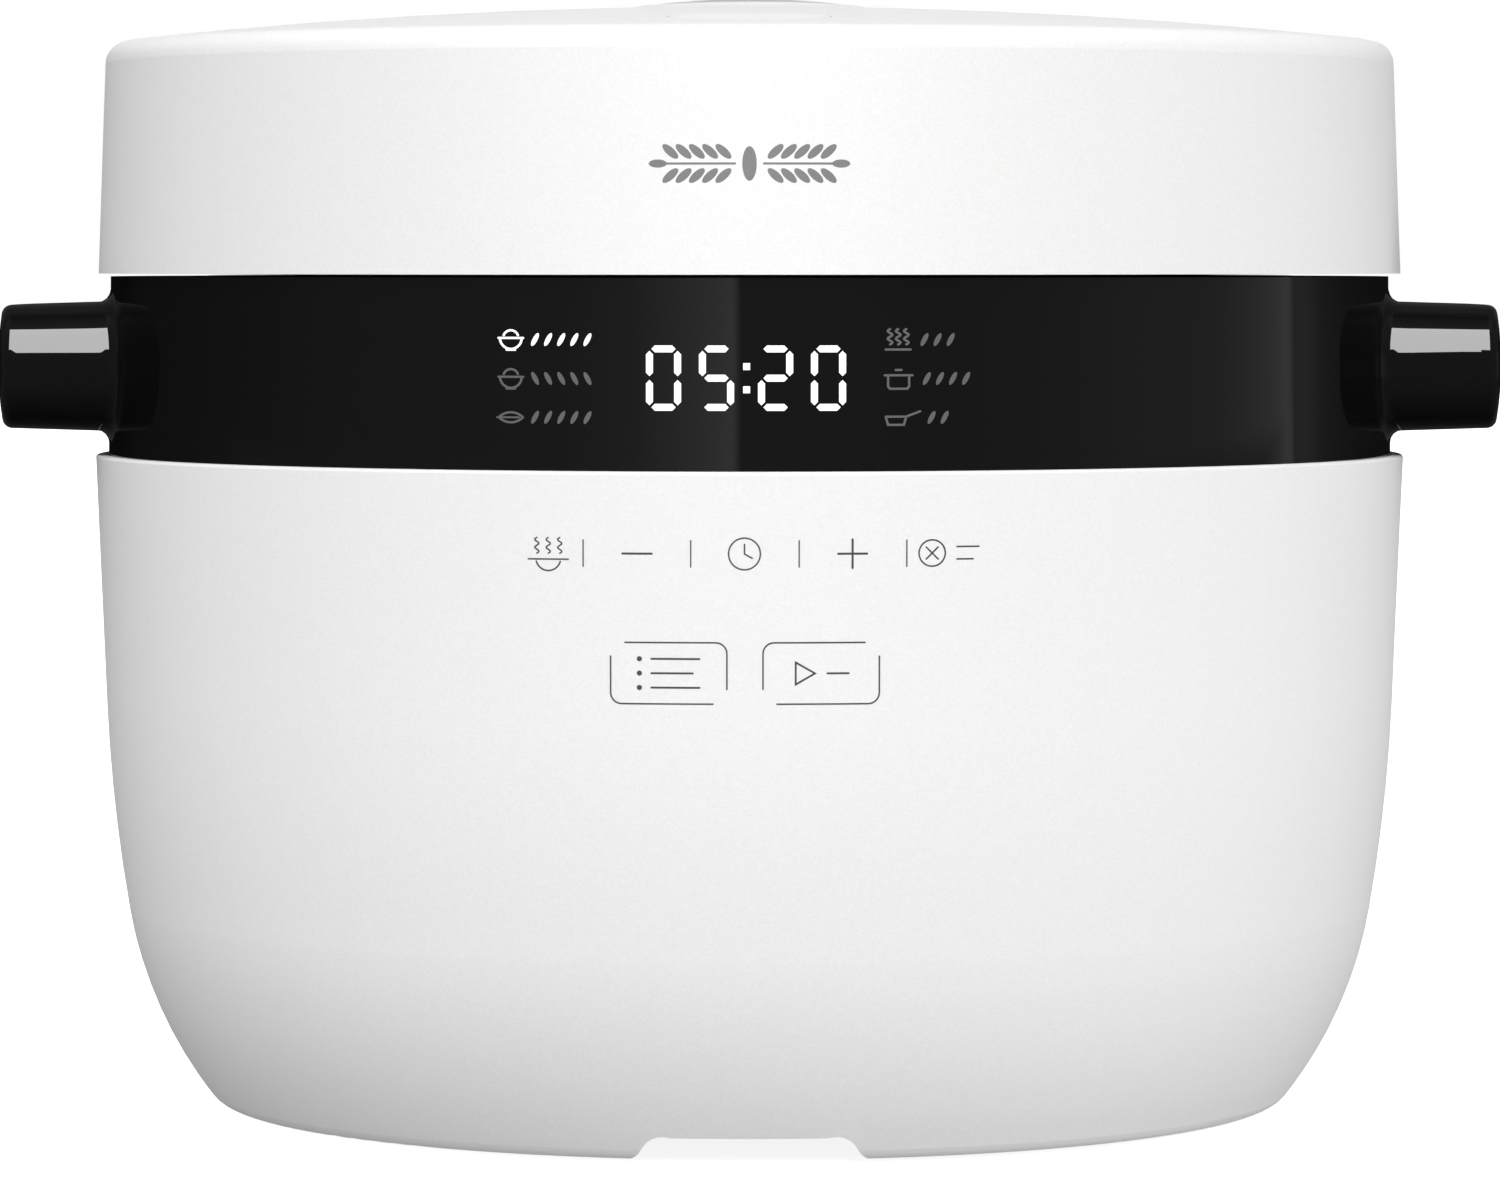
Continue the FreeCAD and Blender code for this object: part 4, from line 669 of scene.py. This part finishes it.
def softbox(name, distance, azimuth, elevation, wide, high, radiance):
    """A rectangular light that faces AIM, azimuth in degrees from the front towards +X."""
    light = bpy.data.lights.new(name, "AREA")
    light.shape = "RECTANGLE"
    light.size, light.size_y = wide, high
    light.energy = radiance * math.pi * wide * high
    lamp = bpy.data.objects.new(name, light)
    bpy.context.scene.collection.objects.link(lamp)
    a, e = math.radians(azimuth), math.radians(elevation)
    out = Vector((math.sin(a) * math.cos(e), -math.cos(a) * math.cos(e), math.sin(e)))
    lamp.location = AIM + out * distance
    lamp.rotation_euler = out.to_track_quat("Z", "Y").to_euler()
    lamp.visible_glossy = False
    lamp.visible_camera = False
    return lamp


# light on matt surfaces: (height of the direction's unit vector, radiance)
FILL = [(-1, 0.25), (-0.5, 0.36), (0, 0.5), (0.3, 0.69), (1, 0.98)]
# what a gloss surface sees level with it, tuned by hand: (degrees from the front towards +X, radiance)
PANELS = [
    (-180, 0.002), (-150, 0.006), (-135, 0.02), (-124, 0.03), (-112, 0.047), (-97, 0.075), (-77, 0.13),
    (-61, 0.15), (-47, 0.16), (-33, 0.175), (-20, 0.25), (-8, 0.49), (-2.1, 0.66), (-1.85, 0.175),
    (15, 0.175), (30, 0.155), (44, 0.165), (58, 0.19), (72, 0.225), (88, 0.222), (93, 0.24),
    (98.4, 0.28), (106.4, 0.333), (110.6, 0.43), (112.5, 0.165), (116.4, 0.16), (123, 0.07),
    (131, 0.038), (139, 0.022), (150, 0.012), (180, 0.002),
]
# and above and below that: (degrees up, radiance)
HEIGHTS = [
    (-90, 0.03), (-50, 0.07), (-25, 0.11), (-12, 0.12), (0, 0.13), (20, 0.15), (50, 0.17), (62, 0.24),
    (80, 0.12), (90, 0.1),
]
# where PANELS shows, 1, and HEIGHTS, 0: by degrees up, and more widely by degrees up behind
WINDOW = [(-0.75, 0), (-0.25, 1), (2.6, 1), (6, 0)]
LEVEL = [(-6, 0), (-4, 1), (4, 1), (6, 0)]
# by degrees round: where LEVEL counts, and how much of HEIGHTS is left
BEHIND = [(-180, 1), (-106, 1), (-96, 0), (100, 0), (110, 1), (180, 1)]
SHADE = [(-180, 0.5), (-112, 0.5), (-92, 1), (92, 1), (112, 0.5), (180, 0.5)]


def ramp_of(tree, stops, low, high, value):
    """A grey colour ramp over stops of (place, tone), read at a value that runs from low to high."""
    place = add(tree, "ShaderNodeMapRange")
    place.inputs["From Min"].default_value = low
    place.inputs["From Max"].default_value = high
    tree.links.new(value, place.inputs["Value"])
    first, last = stops[0][0], stops[-1][0]
    ramp = color_ramp(tree, [((spot - first) / (last - first), tone) for spot, tone in stops])
    tree.links.new(place.outputs["Result"], ramp.inputs["Fac"])
    return ramp.outputs["Color"]


def joined(tree, operation, first, second):
    """Two values joined by a Math operation."""
    node = add(tree, "ShaderNodeMath", operation=operation)
    tree.links.new(first, node.inputs[0])
    tree.links.new(second, node.inputs[1])
    return node.outputs[0]


def mixed(tree, share, first, second):
    """Two shaders mixed by a share."""
    mix = add(tree, "ShaderNodeMixShader")
    tree.links.new(share, mix.inputs[0])
    tree.links.new(first, mix.inputs[1])
    tree.links.new(second, mix.inputs[2])
    return mix.outputs[0]


def glow_of(tree, color):
    """A background shader of a colour, or of a colour socket."""
    back = add(tree, "ShaderNodeBackground")
    if isinstance(color, float):
        back.inputs["Color"].default_value = (color, color, color, 1)
    else:
        tree.links.new(color, back.inputs["Color"])
    return back.outputs[0]


def light_world(scene):
    """Soft white fill, white to the camera, and dim upright panels in the gloss reflections."""
    world = bpy.data.worlds.new("studio")
    scene.world = world
    world.use_nodes = True
    tree = world.node_tree
    tree.nodes.clear()
    output = add(tree, "ShaderNodeOutputWorld")
    coords = add(tree, "ShaderNodeTexCoord")
    split = add(tree, "ShaderNodeSeparateXYZ")
    tree.links.new(coords.outputs["Generated"], split.inputs[0])
    back = add(tree, "ShaderNodeMath", operation="MULTIPLY")
    back.inputs[1].default_value = -1
    tree.links.new(split.outputs["Y"], back.inputs[0])
    turn = add(tree, "ShaderNodeMath", operation="ARCTAN2")
    tree.links.new(split.outputs["X"], turn.inputs[0])
    tree.links.new(back.outputs[0], turn.inputs[1])
    up = add(tree, "ShaderNodeMath", operation="ARCSINE")
    tree.links.new(split.outputs["Z"], up.inputs[0])

    panels = ramp_of(tree, PANELS, -math.pi, math.pi, turn.outputs[0])
    heights = ramp_of(tree, HEIGHTS, -math.pi / 2, math.pi / 2, up.outputs[0])
    window = ramp_of(tree, WINDOW, math.radians(-0.75), math.radians(6), up.outputs[0])
    level = ramp_of(tree, LEVEL, math.radians(-6), math.radians(6), up.outputs[0])
    behind = ramp_of(tree, BEHIND, -math.pi, math.pi, turn.outputs[0])
    window = joined(tree, "MAXIMUM", window, joined(tree, "MULTIPLY", level, behind))
    shade = ramp_of(tree, SHADE, -math.pi, math.pi, turn.outputs[0])
    heights = joined(tree, "MULTIPLY", heights, shade)
    gloss = mixed(tree, window, glow_of(tree, heights), glow_of(tree, panels))
    matt = glow_of(tree, ramp_of(tree, FILL, -1, 1, split.outputs["Z"]))
    path = add(tree, "ShaderNodeLightPath")
    light = mixed(tree, path.outputs["Is Glossy Ray"], matt, gloss)
    seen = mixed(tree, path.outputs["Is Camera Ray"], light, glow_of(tree, 1.0))
    tree.links.new(seen, output.inputs["Surface"])


dress_nodes()
band, shell = Front("handle_band"), Front("outer_housing")
clock(band)
mode_marks(band)
touch_marks(shell)
lid_mark(Front("lid_cover"))
pot_marks(Inside("inner_pot", POT_INSIDE))
studio_and_camera()
